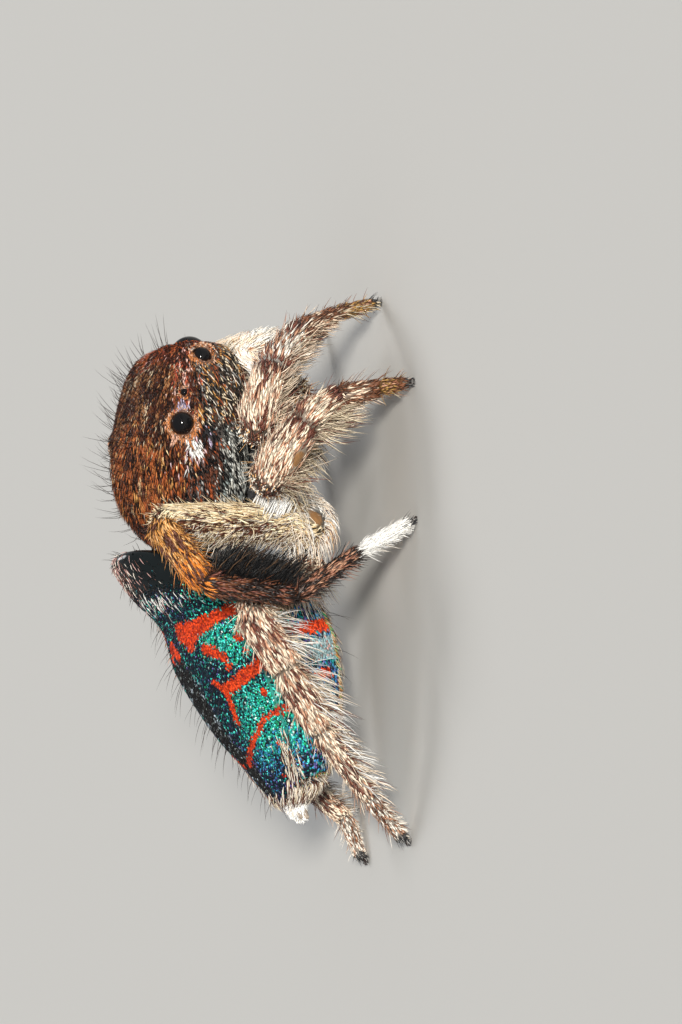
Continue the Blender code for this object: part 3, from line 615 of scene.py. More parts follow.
def sheet_batch(sheet: Sheet, tint: Array) -> Batch:
    """The triangles of a sheet.

    Args:
        sheet: The sheet.
        tint: A colour for each of its grid points.

    Returns:
        The batch, with its seam open on the unwrap.
    """
    cells = np.arange((sheet.rows - 1) * sheet.columns)
    row, column = np.divmod(cells, sheet.columns)
    a, b = cells, row * sheet.columns + (column + 1) % sheet.columns
    c, d = b + sheet.columns, a + sheet.columns
    faces = np.concatenate([np.stack([a, b, c], 1), np.stack([a, c, d], 1)])
    first, second, third, fourth = (
        sheet.unwrap(row + down, column + on) for down, on in ((0, 0), (0, 1), (1, 1), (1, 0))
    )
    halves = [np.stack([first, second, third], axis=1), np.stack([first, third, fourth], axis=1)]
    corner_uv = np.concatenate(halves)
    points = sheet.points.reshape(-1, 3)
    normal = np.cross(points[b] - points[a], points[c] - points[a])
    if np.sum(normal * sheet.normals.reshape(-1, 3)[a]) < 0.0:
        faces, corner_uv = faces[:, ::-1], corner_uv[:, ::-1]
    uv = np.zeros((len(points), 2))
    return Batch(points, faces, uv, tint.reshape(-1, 3), corner_uv.reshape(-1, 2))


def plain(sheet: Sheet, colour: Colour) -> Batch:
    """The triangles of a sheet in one colour."""
    return sheet_batch(sheet, np.full(sheet.points.shape, colour))


class Paintbox:
    """Node groups that the materials share."""

    def __init__(self) -> None:
        """Makes the groups: colour that varies from place to place, and fine wrinkles."""
        self.tone = self.group("coat tone", ("Colour", "Grain", "Spread"), "Colour")
        links, ends = self.tone.links, self.tone.nodes
        noise = self.noise(self.tone, 3.0)
        centre = self.tone.nodes.new("ShaderNodeMath")
        centre.operation = "SUBTRACT"
        centre.inputs[1].default_value = 0.5
        scaled = self.tone.nodes.new("ShaderNodeMath")
        scaled.operation = "MULTIPLY_ADD"
        scaled.inputs[2].default_value = 1.0
        times = self.tone.nodes.new("ShaderNodeVectorMath")
        times.operation = "SCALE"
        links.new(noise.outputs["Fac"], centre.inputs[0])
        links.new(centre.outputs[0], scaled.inputs[0])
        links.new(ends["in"].outputs["Spread"], scaled.inputs[1])
        links.new(ends["in"].outputs["Colour"], times.inputs[0])
        links.new(scaled.outputs[0], times.inputs["Scale"])
        links.new(times.outputs[0], ends["out"].inputs[0])
        self.relief = self.group("skin relief", ("Grain",), "Height")
        wrinkles = self.noise(self.relief, 5.0)
        self.relief.links.new(wrinkles.outputs["Fac"], self.relief.nodes["out"].inputs[0])

    @staticmethod
    def group(name: str, inputs: tuple[str, ...], output: str) -> bpy.types.NodeTree:
        """An empty group.

        Args:
            name: Its name.
            inputs: The names of its inputs.
            output: The name of its output.

        Returns:
            The group, whose two ends are named in and out.
        """
        group = bpy.data.node_groups.new(name, "ShaderNodeTree")
        for label, way in (*((word, "INPUT") for word in inputs), (output, "OUTPUT")):
            kind = "NodeSocketColor" if label == "Colour" else "NodeSocketFloat"
            group.interface.new_socket(name=label, in_out=way, socket_type=kind)
        group.nodes.new("NodeGroupInput").name = "in"
        group.nodes.new("NodeGroupOutput").name = "out"
        return group

    @staticmethod
    def noise(group: bpy.types.NodeTree, detail: float) -> bpy.types.Node:
        """Noise over the object's own place, as fine as the group's Grain says.

        Args:
            group: The group it stands in.
            detail: How rich it is.

        Returns:
            The node.
        """
        place = group.nodes.new("ShaderNodeTexCoord")
        noise = group.nodes.new("ShaderNodeTexNoise")
        noise.inputs["Detail"].default_value = detail
        group.links.new(place.outputs["Object"], noise.inputs["Vector"])
        group.links.new(group.nodes["in"].outputs["Grain"], noise.inputs["Scale"])
        return noise


@dataclass(frozen=True)
class Finish:
    """How a surface looks."""

    name: str
    roughness: float
    metallic: float = 0.0
    coat: float = 0.0
    grain: float = 5.0
    spread: float = 0.8
    bump: float = 0.0
    specular: float = 0.5

    def build(self, paint: Paintbox) -> bpy.types.Material:
        """Makes the material.

        Args:
            paint: The shared node groups.

        Returns:
            The material, which takes its colour from the mesh's Tint.
        """
        made = bpy.data.materials.new(self.name)
        made.use_nodes = True
        nodes, links = made.node_tree.nodes, made.node_tree.links
        surface = nodes["Principled BSDF"]
        surface.inputs["Roughness"].default_value = self.roughness
        surface.inputs["Metallic"].default_value = self.metallic
        surface.inputs["Coat Weight"].default_value = self.coat
        surface.inputs["Specular IOR Level"].default_value = self.specular
        tint = nodes.new("ShaderNodeAttribute")
        tint.attribute_name = "Tint"
        tone = nodes.new("ShaderNodeGroup")
        tone.node_tree = paint.tone
        tone.inputs["Grain"].default_value = self.grain / MM
        tone.inputs["Spread"].default_value = self.spread
        links.new(tint.outputs["Color"], tone.inputs["Colour"])
        links.new(tone.outputs["Colour"], surface.inputs["Base Color"])
        if self.bump > 0.0:
            relief = nodes.new("ShaderNodeGroup")
            relief.node_tree = paint.relief
            relief.inputs["Grain"].default_value = 2.0 * self.grain / MM
            bump = nodes.new("ShaderNodeBump")
            bump.inputs["Strength"].default_value = 1.0
            bump.inputs["Distance"].default_value = self.bump * MM
            links.new(relief.outputs["Height"], bump.inputs["Height"])
            links.new(bump.outputs["Normal"], surface.inputs["Normal"])
        return made


class Surface(Enum):
    """The finishes of the model."""

    HIDE = Finish("dark brown shell", 0.42, grain=9.0, bump=0.02, coat=0.15)
    LEG_HIDE = Finish("leg shell", 0.45, grain=12.0, bump=0.015)
    LENS = Finish("glossy black lens", 0.03, grain=3.0, spread=0.2, specular=0.2)
    FUR = Finish("fine hair", 0.45, spread=0.4)
    SCALE = Finish("head scales", 0.58, spread=0.5, specular=0.18)
    HORN = Finish("black horn", 0.10, grain=9.0, bump=0.0015, specular=0.35)
    BRISTLE = Finish("dark bristles", 0.35, spread=0.3)
    GLITTER = Finish("glittering scales", 0.30, metallic=0.50, grain=7.0, spread=0.6)
    VELVET = Finish("velvet scales", 0.60, grain=12.0, spread=0.4, specular=0.3)
    CLAW = Finish("dark claw", 0.25, spread=0.3, coat=0.3)


@dataclass
class Workshop:
    """Turns batches into pieces of the scene."""

    materials: dict[Surface, bpy.types.Material]
    triangles: int = 0

    def piece(
        self,
        name: str,
        batches: list[Batch],
        surface: Surface,
        nodes: tuple[str, ...] = (),
    ) -> None:
        """Makes one mesh piece that rides on the model.

        Args:
            name: The piece's name.
            batches: What it is made of.
            surface: Its finish.
            nodes: The solids it replaces.
        """
        batch = Batch.join(batches)
        count = len(batch.faces)
        mesh = bpy.data.meshes.new(name)
        mesh.vertices.add(len(batch.points))
        places = (batch.points + CENTRE_SHIFT) * MM
        places[:, 2] = np.maximum(places[:, 2], 0.0)
        mesh.vertices.foreach_set("co", places.astype(np.float32).ravel())
        mesh.loops.add(3 * count)
        mesh.loops.foreach_set("vertex_index", batch.faces.astype(np.int32).ravel())
        mesh.polygons.add(count)
        mesh.polygons.foreach_set("loop_start", np.arange(0, 3 * count, 3, dtype=np.int32))
        mesh.update(calc_edges=True)
        mesh.shade_smooth()
        layer = mesh.uv_layers.new(name="OFBake")
        layer.uv.foreach_set("vector", batch.corner_uv.astype(np.float32).ravel())
        tint = mesh.color_attributes.new("Tint", "FLOAT_COLOR", "POINT")
        colours = np.ones((len(batch.points), 4), np.float32)
        colours[:, :3] = np.clip(batch.tint, 0.0, 1.0)
        tint.data.foreach_set("color", colours.ravel())
        mesh.materials.append(self.materials[surface])
        obj = stand(name, mesh)
        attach(obj, "root")
        if nodes:
            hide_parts(*nodes)
        self.triangles += count
        LOG.info("%s: %d triangles", name, count)


def stand(name: str, data: bpy.types.ID) -> bpy.types.Object:
    """Puts data in the scene as an object.

    Args:
        name: The object's name.
        data: Its mesh, light or camera.

    Returns:
        The object.
    """
    obj = bpy.data.objects.new(name, data)
    bpy.context.scene.collection.objects.link(obj)
    return obj


def ring_turns(columns: int) -> Array:
    """The turns of a closed ring's points."""
    return np.linspace(0.0, FULL_TURN, columns, endpoint=False)


def superellipse(turns: Array, squareness: float) -> tuple[Array, Array]:
    """The sideways and upward shares of a rounded ring, for turns from the top to the right."""
    c, s, power = np.cos(turns), np.sin(turns), 2.0 / squareness
    return np.sign(s) * np.abs(s) ** power, np.sign(c) * np.abs(c) ** power


def body_sheet(rows: tuple, count: int, columns: int, squareness: float, patch: tuple) -> Sheet:
    """A loft in the leaning frame of the head, inside its stations by the coat's depth.

    Args:
        rows: Forward, top, bottom and half width of each station.
        count: How many rings it gets.
        columns: How many points each ring has.
        squareness: The rings' squareness.
        patch: Its share of the unwrap.

    Returns:
        The sheet.
    """
    at = np.linspace(0.0, len(rows) - 1.0, count)
    forward, top, bottom, half = smooth_rows(rows, at)[:, :, None].transpose(1, 0, 2)
    x, y = superellipse(ring_turns(columns), squareness)
    wide = np.maximum(half - COAT_DEPTH, LEAST) * x
    rise = np.maximum((top - bottom) / 2.0 - COAT_DEPTH, LEAST) * y
    return Sheet(in_body(forward + 0.0 * wide, wide, (top + bottom) / 2.0 + rise), patch)


def ring_sheet(centre: Array, way: Array, radius: Array, columns: int, hint: Array) -> Sheet:
    """Rings square to a path.

    Args:
        centre: Each ring's middle.
        way: The way the path runs there.
        radius: Each ring's radius.
        columns: How many points each ring has.
        hint: The way that the ring's first point looks.

    Returns:
        The sheet.
    """
    first = square_to(way, hint)
    turns = ring_turns(columns)[None, :, None]
    edge = np.cos(turns) * first[:, None] + np.sin(turns) * np.cross(way, first)[:, None]
    return Sheet(centre[:, None, :] + radius[:, None, None] * edge)


def tube_sheet(
    path: Array,
    radii: tuple,
    count: int,
    columns: int,
    hint: Array,
    patch: tuple = (0.0, 0.0, 1.0, 1.0),
) -> Sheet:
    """A tube along a smooth path, with a rounded end.

    Args:
        path: The points of the path.
        radii: The radius at each.
        count: How many rings it gets.
        columns: How many points each ring has.
        hint: The way that the ring's first point looks.
        patch: Its share of the unwrap.

    Returns:
        The sheet.
    """
    at = np.linspace(0.0, len(path) - 1.0, count)
    centre = smooth_rows(path, at)
    radius = smooth_rows(np.array(radii)[:, None], at)
    way = unit(np.gradient(centre, axis=0))
    dome = np.linspace(1.0, 0.02, 6)
    tip = radius[-1] * np.sqrt(1.0 - dome**2)[:, None]
    centre = np.concatenate([centre, centre[-1] + tip * way[-1]])
    radius = np.concatenate([radius, radius[-1] * dome[:, None]])
    way = np.concatenate([way, np.repeat(way[-1:], len(dome), 0)])
    sheet = ring_sheet(centre, way, radius[:, 0], columns, hint)
    sheet.patch = patch
    return sheet


@dataclass(frozen=True)
class Eye:
    """One eye: its place in the head's frame, its size, the way it looks, and its rim."""

    kind: str
    place: tuple[float, float, float]
    radius: float
    look: tuple[float, float, float]
    rim: float
    side: Side

    @property
    def centre(self) -> Array:
        """Its middle."""
        forward, right, up = self.place
        return in_body(forward, self.side.value * right, up)

    @property
    def axis(self) -> Array:
        """The way it looks."""
        f, r, u = self.look
        return unit(f * FORWARD + self.side.value * r * RIGHT + u * UPWARD)

    def batch(self) -> Batch:
        """The lens: a fine sphere, browner at its edge.

        Returns:
            The lens as triangles.
        """
        columns = 44
        turns = np.linspace(0.004, math.pi - 0.004, 30)
        centre = self.centre - self.radius * np.cos(turns)[:, None] * self.axis
        way = np.repeat(self.axis[None], len(turns), 0)
        sheet = ring_sheet(centre, way, self.radius * np.sin(turns), columns, UPWARD)
        edge = ramp(np.repeat(-np.cos(turns)[:, None], columns, 1), 0.75, 0.1)[..., None]
        return sheet_batch(sheet, (1 - edge) * np.array(SOOT) + edge * np.array(LENS_EDGE))


ALL_EYES = [
    Eye(*row, side)
    for row in (
        ("ame", (0.90, 0.215, 0.44), 0.190, (1.0, 0.0, 0.0), 1.06),
        ("ale", (0.80, 0.600, 0.50), 0.105, (0.52, 0.85, 0.08), 1.12),
        ("pme", (0.41, 0.680, 0.72), 0.040, (0.0, 0.93, 0.37), 1.4),
        ("ple", (0.09, 0.700, 0.75), 0.118, (-0.10, 0.92, 0.38), 1.22),
    )
    for side in Side
]
SMALL_EYES = [eye for eye in ALL_EYES if eye.kind != "ame"]

# The colours of each zone of the head's coat, with their shares
HEAD_PALETTE = {
    "top": ((0.34, MAROON), (0.28, UMBER), (0.23, COCOA), (0.10, CARAMEL), (0.05, SAND)),
    "back": (
        *((0.33, BRICK), (0.10, COPPER), (0.06, OCHRE)),
        # The pale apricot share is a painted highlight on the rust strokes.
        *((0.035, APRICOT_HIGHLIGHT), (0.20, BROWN), (0.34, UMBER)),
    ),
    "low": ((0.38, SOOT),),
    "low specks": ((0.14, STEEL), (0.26, GREY), (0.20, SILVER)),
    "low plain": ((0.22, BROWN), (0.10, RUST), (0.06, ASH)),
    # The gloss zone is a painted highlight: grey-blue and lilac scales on black stand for sheen below the
    # rear eye.
    "gloss": ((0.70, SOOT), (0.20, STEEL), (0.10, LILAC)),
    "cheek": ((0.62, SOOT), (0.08, STRAW), (0.08, GOLD), (0.14, BROWN), (0.08, ASH)),
    "mask": ((0.32, RUST), (0.10, GARNET), (0.07, ROSE), (0.33, MAROON), (0.18, SOOT)),
    "face": ((0.6, CREAM), (0.4, GOLD)),
    "brow": ((0.30, SIENNA), (0.16, CORAL), (0.30, MAROON)),
    "patch": ((0.70, WHITE), (0.18, PINK), (0.12, LILAC)),
    "blush": ((0.40, BLUSH), (0.25, RUST), (0.35, MAROON)),
    "ring": ((0.62, TERRACOTTA), (0.28, PEACH)),
    "lilac": ((1.0, LILAC),),
}


def low_side(f: Array, u: Array, edge: float = 0.56) -> Array:
    """The share of the head's dark lower side, whose edge rises towards the back."""
    height = edge + 0.42 * np.clip(-f - 0.05, 0.0, 0.75)
    return ramp(u, height + 0.06, height - 0.10)


@dataclass
class Head:
    """The head and chest with their eyes."""

    chance: Chance
    # Stations: forward, top, bottom, half width, closed at both ends
    shell_rows: tuple = (
        *((1.025, 0.43, 0.33, 0.03), (1.020, 0.52, 0.22, 0.24), (1.00, 0.60, 0.16, 0.40)),
        *((0.96, 0.71, 0.07, 0.60), (0.88, 0.80, -0.02, 0.69), (0.72, 0.89, -0.09, 0.75)),
        *((0.45, 0.97, -0.13, 0.79), (0.10, 1.02, -0.14, 0.83), (-0.20, 1.01, -0.14, 0.83)),
        *((-0.50, 0.94, -0.12, 0.79), (-0.76, 0.81, -0.07, 0.69), (-0.93, 0.62, 0.02, 0.56)),
        *((-1.03, 0.42, 0.11, 0.40), (-1.06, 0.34, 0.15, 0.24), (-1.07, 0.28, 0.20, 0.04)),
    )
    plate_rows: tuple = (
        *((0.70, -0.22, -0.26, 0.03), (0.66, -0.16, -0.34, 0.12), (0.60, -0.10, -0.41, 0.22)),
        *((0.40, -0.08, -0.44, 0.28), (0.00, -0.08, -0.46, 0.30), (-0.40, -0.08, -0.44, 0.27)),
        *((-0.58, -0.10, -0.38, 0.17), (-0.64, -0.18, -0.26, 0.03)),
    )
    shell_squareness: float = 2.6
    plate_squareness: float = 2.2
    stalk_path: tuple = ((-0.50, 0.0, -0.20), (-1.28, 0.0, -0.20))
    stalk_radius: float = 0.075
    skin_shade: float = 0.30
    scale_count: int = 19000
    rim_count: int = 900
    cheek_count: int = 420
    bristle_count: int = 270
    fringe: Tuft = Tuft(
        620, 0.15, ((0.5, WARM_WHITE), (0.3, CREAM), (0.2, STRAW)), (0.20, 0.30), (0.006, 0.009), 0.6
    )
    shell: Sheet = field(init=False)

    def __post_init__(self) -> None:
        """Lofts the shell and sinks its eye sockets."""
        patch = (0.0, 0.0, 1.0, 0.72)
        sheet = body_sheet(self.shell_rows, 184, 180, self.shell_squareness, patch)
        self.shell = Sheet(self.with_sockets(sheet.points), patch)

    @staticmethod
    def with_sockets(points: Array) -> Array:
        """Sinks the skin behind each eye and raises a rim round it.

        Args:
            points: The shell's grid.

        Returns:
            The grid with eight sockets.
        """
        for eye in ALL_EYES:
            away = points - eye.centre
            height = away @ eye.axis
            across = np.linalg.norm(away - height[..., None] * eye.axis, axis=-1) / eye.radius
            inner = across < 0.96
            slope = ramp(across, eye.rim + 0.75, eye.rim)
            close = np.abs(height) < 1.9 * eye.radius
            rise = np.where(inner, -0.25, 0.16 * slope) * eye.radius - height
            lift = np.where(inner, rise, np.maximum(rise, 0.0))
            share = np.where(inner, close, slope * close)
            points = points + (share * lift)[..., None] * eye.axis
        return points

    @staticmethod
    def options(points: Array) -> Mix:
        """The colours of the head's coat, place by place.

        Args:
            points: Places on the head.

        Returns:
            Pairs of weight and colour.
        """
        f, r, u = to_body(points)
        side = np.abs(r)
        outside = ramp(side, 0.5, 0.6)
        ragged = 0.05 * np.sin(23.0 * r + 7.0 * u) + 0.03 * np.sin(41.0 * r - 13.0 * u)
        front = ramp(f - 0.20 + 0.55 * side + 1.5 * ragged, -0.16, 0.18)
        low = low_side(f, u) * ramp(f, 0.90, 0.70)
        cheek = ramp(f, 0.02, 0.18) * ramp(u, 0.66, 0.58) * ramp(f, 0.97, 0.87)
        mask = ramp(f, 0.70, 0.90) * ramp(u, 0.28, 0.42)
        face = ramp(f, 0.85, 0.93) * ramp(u, 0.34, 0.24)
        # Painted highlight: a spot below the rear eye whose grey-blue and lilac scales stand for sheen.
        gloss = near(f, 0.0, 0.10) * near(u, 0.52, 0.10) * outside
        patch = np.clip(1.5 * near(f, -0.12, 0.075) * near(u, 0.665, 0.050) * outside, 0.0, 1.0)
        blush = near(f, -0.20, 0.06) * near(u, 0.60, 0.06) * outside * (1 - patch)
        blush = np.maximum(blush, 0.45 * near(f, -0.34, 0.07) * near(u, 0.78, 0.05))
        lilac = near(f, 0.28, 0.06) * near(u, 0.74, 0.05) * outside
        brow = near(u, 0.73, 0.09) * ramp(f, -0.05, 0.1) * outside
        rings = [ramp(distance(points, eye.centre) / eye.radius, 1.60, 1.25) for eye in SMALL_EYES]
        ring = np.max(rings, axis=0)
        calm = 1.0 - np.clip(patch + blush + ring + lilac + gloss, 0.0, 0.97)
        upper = calm * (1 - low) * (1 - cheek) * (1 - mask) * (1 - face) * (1 - 0.75 * brow)
        low = calm * low * (1 - cheek)
        specks = ramp(u, 0.45, 0.28)
        zones = {
            "top": upper * front,
            "back": upper * (1 - front),
            "low": low,
            "low specks": low * specks,
            "low plain": low * (1 - specks),
            "gloss": gloss,
            "cheek": calm * cheek,
            "mask": calm * mask,
            "face": calm * face,
            "brow": calm * brow,
            "patch": patch,
            "blush": blush,
            "ring": ring,
            "lilac": lilac,
        }
        return mixed(zones, HEAD_PALETTE)

    def skin(self) -> list[Batch]:
        """The shell, the plate below and the stalk.

        Returns:
            Their triangles.
        """
        patch = (0.0, 0.72, 0.5, 0.28)
        plate = body_sheet(self.plate_rows, 60, 48, self.plate_squareness, patch)
        path = in_body(*np.array(self.stalk_path).T)
        patch = (0.5, 0.72, 0.5, 0.28)
        stalk = tube_sheet(path, (self.stalk_radius,) * 2, 14, 28, UPWARD, patch)
        tint = self.skin_shade * average(self.options(self.shell.points))
        return [sheet_batch(self.shell, tint), plain(plate, CHARCOAL), plain(stalk, CHARCOAL)]

    def lie(self, roots: Roots) -> Array:
        """The way the coat lies: back from the face, and down the cheeks.

        Args:
            roots: Places on the head.

        Returns:
            Unit vectors along the surface.
        """
        f, r, u = to_body(roots.place)
        down = ramp(u, 0.80, 0.35)[:, None]
        wish = -FORWARD - 0.50 * down * UPWARD + 0.12 * np.sign(r)[:, None] * RIGHT
        return square_to(roots.normal, wish)

    def clear_of_eyes(self, roots: Roots, reach: Array) -> Array:
        """Whether roots keep off the lenses.

        Args:
            roots: The roots.
            reach: How long each scale or hair is.

        Returns:
            A mask.
        """
        keep = np.ones(len(roots), bool)
        lie = self.lie(roots)
        for share in (0.0, 0.5, 1.0):
            place = roots.place + share * reach[:, None] * lie
            for eye in ALL_EYES:
                keep &= distance(place, eye.centre) > 1.02 * eye.radius
        return keep

    def scale_coat(self) -> Batch:
        """Short flat scales over the whole shell.

        Returns:
            The scales.
        """
        f, r, u = to_body(self.shell.points)
        weight = (1.0 - 0.45 * low_side(f, u, 0.58)) * ramp(u, -0.16, -0.08)
        roots = self.shell.plant(self.scale_count, self.chance, weight)
        f, r, u = to_body(roots.place)
        rear = ramp(f, 0.05, -0.10)
        length = self.chance.uniform(0.055, 0.090, len(roots)) * (1.0 + 0.85 * rear)
        length *= 1.0 - 0.40 * low_side(f, u)
        keep = self.clear_of_eyes(roots, length)
        roots, length, rear = roots.keep(keep), length[keep], rear[keep]
        n = len(roots)
        lie = roots.sway(self.chance, self.lie(roots), 0.26)
        f, r, u = to_body(roots.place)
        pick = clumps(self.chance, f + 0.15 * u, 0.72 * roots.turn, 0.15, 0.028)
        tint = shaded(self.chance, choose(pick, self.options(roots.place)), 0.65, 1.30, n)
        width = self.chance.uniform(0.014, 0.021, n) * (1.0 + 0.15 * rear)
        return scales(roots, lie, length, width, self.chance.uniform(0.12, 0.50, n), tint)

    def rims(self) -> Batch:
        """Pale orange scales round the small eyes.

        Returns:
            The scales.
        """
        weight = np.zeros(self.shell.points.shape[:2])
        for eye in SMALL_EYES:
            away = distance(self.shell.points, eye.centre) / eye.radius
            ring = ramp(away, 1.40, 1.28) * (away > 1.02)
            weight = np.maximum(weight, ring * 0.118 / eye.radius)
        roots = self.shell.plant(self.rim_count, self.chance, weight)
        centres = np.array([eye.centre for eye in SMALL_EYES])
        nearest = np.argmin([distance(roots.place, centre) for centre in centres], axis=0)
        n = len(roots)
        lie = square_to(roots.normal, roots.place - centres[nearest])
        lie = unit(lie + self.chance.normal(0.0, 0.25, (n, 3)))
        colours = ((0.40, (0.74, 0.42, 0.27)), (0.30, (0.56, 0.24, 0.10)), (0.30, (0.80, 0.58, 0.44)))
        tint = choose(self.chance.random(n), colours)
        length = self.chance.uniform(0.026, 0.040, n)
        width = self.chance.uniform(0.012, 0.017, n)
        return scales(roots, lie, length, width, self.chance.uniform(0.05, 0.25, n), tint)

    def cheek_hair(self) -> Batch:
        """Long pale strands over the cheeks and the lower face.

        Returns:
            The strands.
        """
        f, r, u = to_body(self.shell.points)
        weight = ramp(f, 0.05, 0.25) * ramp(u, 0.66, 0.56) * (0.3 + 0.7 * ramp(u, 0.20, 0.36))
        roots = self.shell.plant(self.cheek_count, self.chance, weight * ramp(f, 0.97, 0.87))
        length = self.chance.uniform(0.07, 0.15, len(roots))
        keep = self.clear_of_eyes(roots, length)
        roots, length = roots.keep(keep), length[keep]
        n = len(roots)
        lie = square_to(roots.normal, -0.85 * FORWARD - 0.52 * UPWARD)
        out = unit(lie + self.chance.normal(0.0, 0.20, (n, 3))) + 0.25 * roots.normal
        colours = (
            *((0.22, STRAW), (0.24, (0.58, 0.28, 0.07)), (0.20, RUST)),
            *((0.20, ASH), (0.14, WARM_WHITE)),
        )
        tint = choose(self.chance.random(n), colours)
        radius = self.chance.uniform(0.0055, 0.0085, n)
        return hairs(roots, out, -0.25 * roots.normal, length, radius, tint, 0.5)

    def face_fringe(self) -> Batch:
        """Pale hair that hangs from the lower edge of the face over the jaws.

        Returns:
            The hair.
        """
        f, r, u = to_body(self.shell.points)
        weight = ramp(f, 0.83, 0.93) * ramp(u, 0.22, 0.12)
        roots = self.shell.plant(self.fringe.count, self.chance, weight)
        f, r, u = to_body(roots.place)
        out = 0.9 * FORWARD - 0.5 * UPWARD + 0.3 * r[:, None] * RIGHT
        return self.fringe.grow(self.chance, roots, out, -0.75 * UPWARD - 0.25 * FORWARD)

    def bristles(self) -> Batch:
        """Long thin dark bristles that stand over the head.

        Returns:
            The bristles.
        """
        f, r, u = to_body(self.shell.points)
        weight = ramp(u, 0.55, 0.85) + 0.12 * ramp(u, 0.3, 0.5) * ramp(f, -0.2, -0.5)
        roots = self.shell.plant(self.bristle_count, self.chance, weight)
        length = self.chance.uniform(0.10, 0.34, len(roots))
        roots = roots.keep(self.clear_of_eyes(roots, 0.2 * length))
        n = len(roots)
        f, r, u = to_body(roots.place)
        lean = (0.20 + 0.25 * ramp(f, -0.3, 0.8))[:, None]
        out = roots.normal + lean * FORWARD + self.chance.normal(0.0, 0.24, (n, 3))
        bend = 0.26 * FORWARD + self.chance.normal(0.0, 0.12, (n, 3))
        radius = self.chance.uniform(0.0026, 0.0038, n)
        return hairs(roots, out, bend, length[:n], radius, shaded(self.chance, UMBER, 0.5, 1.8, n))

    def build(self, shop: Workshop) -> None:
        """Makes all the pieces of the head.

        Args:
            shop: What makes them.
        """
        solids = ("carapace", "sternum", "pedicel")
        shop.piece("head_skin", self.skin(), Surface.HIDE, solids)
        for eye in ALL_EYES:
            name = f"eye_{eye.kind}_{eye.side.word}"
            shop.piece(f"{name}_lens", [eye.batch()], Surface.LENS, (name,))
        coat = [self.scale_coat(), self.rims()]
        shop.piece("head_scales", coat, Surface.SCALE)
        hair = [self.cheek_hair(), self.face_fringe()]
        shop.piece("head_hair", hair, Surface.FUR)
        shop.piece("head_bristles", [self.bristles()], Surface.BRISTLE)


@dataclass
class Mouth:
    """The jaws and the palps: paths in the head's frame, and a radius for each point."""

    chance: Chance
    jaw_path: tuple = ((0.84, 0.165, -0.10), (0.91, 0.170, -0.32), (0.92, 0.165, -0.56))
    jaw_radii: tuple = (0.125, 0.130, 0.092)
    fang_path: tuple = ((0.92, 0.165, -0.58), (0.925, 0.145, -0.68), (0.89, 0.10, -0.75))
    fang_radii: tuple = (0.042, 0.030, 0.008)
    palp_path: tuple = (
        *((0.66, 0.42, -0.37), (0.79, 0.515, -0.18), (0.93, 0.55, -0.04)),
        *((1.03, 0.53, -0.25), (1.02, 0.50, -0.43), (1.01, 0.47, -0.58)),
    )
    palp_radii: tuple = (0.065, 0.090, 0.105, 0.132, 0.110, 0.050)
    palp_hair_count: int = 3200
    jaw_hair: Tuft = Tuft(
        420, 0.0, ((0.5, STRAW), (0.3, ASH), (0.2, BROWN)), (0.08, 0.14), (0.005,), 0.6
    )

    @staticmethod
    def path(points: tuple, side: Side) -> Array:
        """A path on one side, in the design frame."""
        forward, right, up = np.array(points).T
        return in_body(forward, side.value * right, up)

    def jaw(self, side: Side, shop: Workshop) -> None:
        """One jaw with its fang.

        Args:
            side: Its side.
            shop: What makes the pieces.
        """
        name = f"chelicera_{side.word}"
        upper, lower = (0.0, 0.0, 1.0, 0.7), (0.0, 0.7, 1.0, 0.3)
        base = tube_sheet(self.path(self.jaw_path, side), self.jaw_radii, 40, 32, FORWARD, upper)
        fang = tube_sheet(self.path(self.fang_path, side), self.fang_radii, 20, 14, FORWARD, lower)
        skin = [plain(base, (0.10, 0.035, 0.018)), plain(fang, (0.05, 0.012, 0.006))]
        shop.piece(f"{name}_skin", skin, Surface.CLAW, (name,))
        roots = base.plant(self.jaw_hair.count, self.chance)
        out = 0.5 * roots.normal + roots.along
        hair = self.jaw_hair.grow(self.chance, roots, out, -0.3 * roots.normal)
        shop.piece(f"{name}_hair", [hair], Surface.FUR)

    def palp(self, side: Side, shop: Workshop) -> None:
        """One palp with its dense pale hair.

        Args:
            side: Its side.
            shop: What makes the pieces.
        """
        name = f"palp_{side.word}"
        sheet = tube_sheet(self.path(self.palp_path, side), self.palp_radii, 70, 32, FORWARD)
        skin = [plain(sheet, (0.52, 0.44, 0.37))]
        solids = (f"{name}_femur", f"{name}_cymbium")
        shop.piece(f"{name}_skin", skin, Surface.LEG_HIDE, solids)
        roots = sheet.plant(self.palp_hair_count, self.chance)
        n = len(roots)
        share = roots.row / sheet.rows
        pick = clumps(self.chance, 3.0 * share, 0.13 * roots.turn, 0.14, 0.035)
        warm = 0.10 + 0.12 * ramp(share, 0.55, 0.85)
        colours = ((0.44, (0.97, 0.95, 0.92)), (0.30, WARM_WHITE), (0.16, SHELL), (warm, (0.66, 0.33, 0.17)))
        length = self.chance.uniform(0.09, 0.17, n)
        out = roots.along + 0.35 * roots.normal + self.chance.normal(0.0, 0.12, (n, 3))
        radius = self.chance.uniform(0.009, 0.015, n)
        hair = hairs(roots, out, -0.30 * roots.normal, length, radius, choose(pick, colours), 0.35)
        shop.piece(f"{name}_hair", [hair], Surface.FUR)

    def build(self, shop: Workshop) -> None:
        """Makes the jaws and the palps.

        Args:
            shop: What makes them.
        """
        for side in Side:
            self.jaw(side, shop)
            self.palp(side, shop)


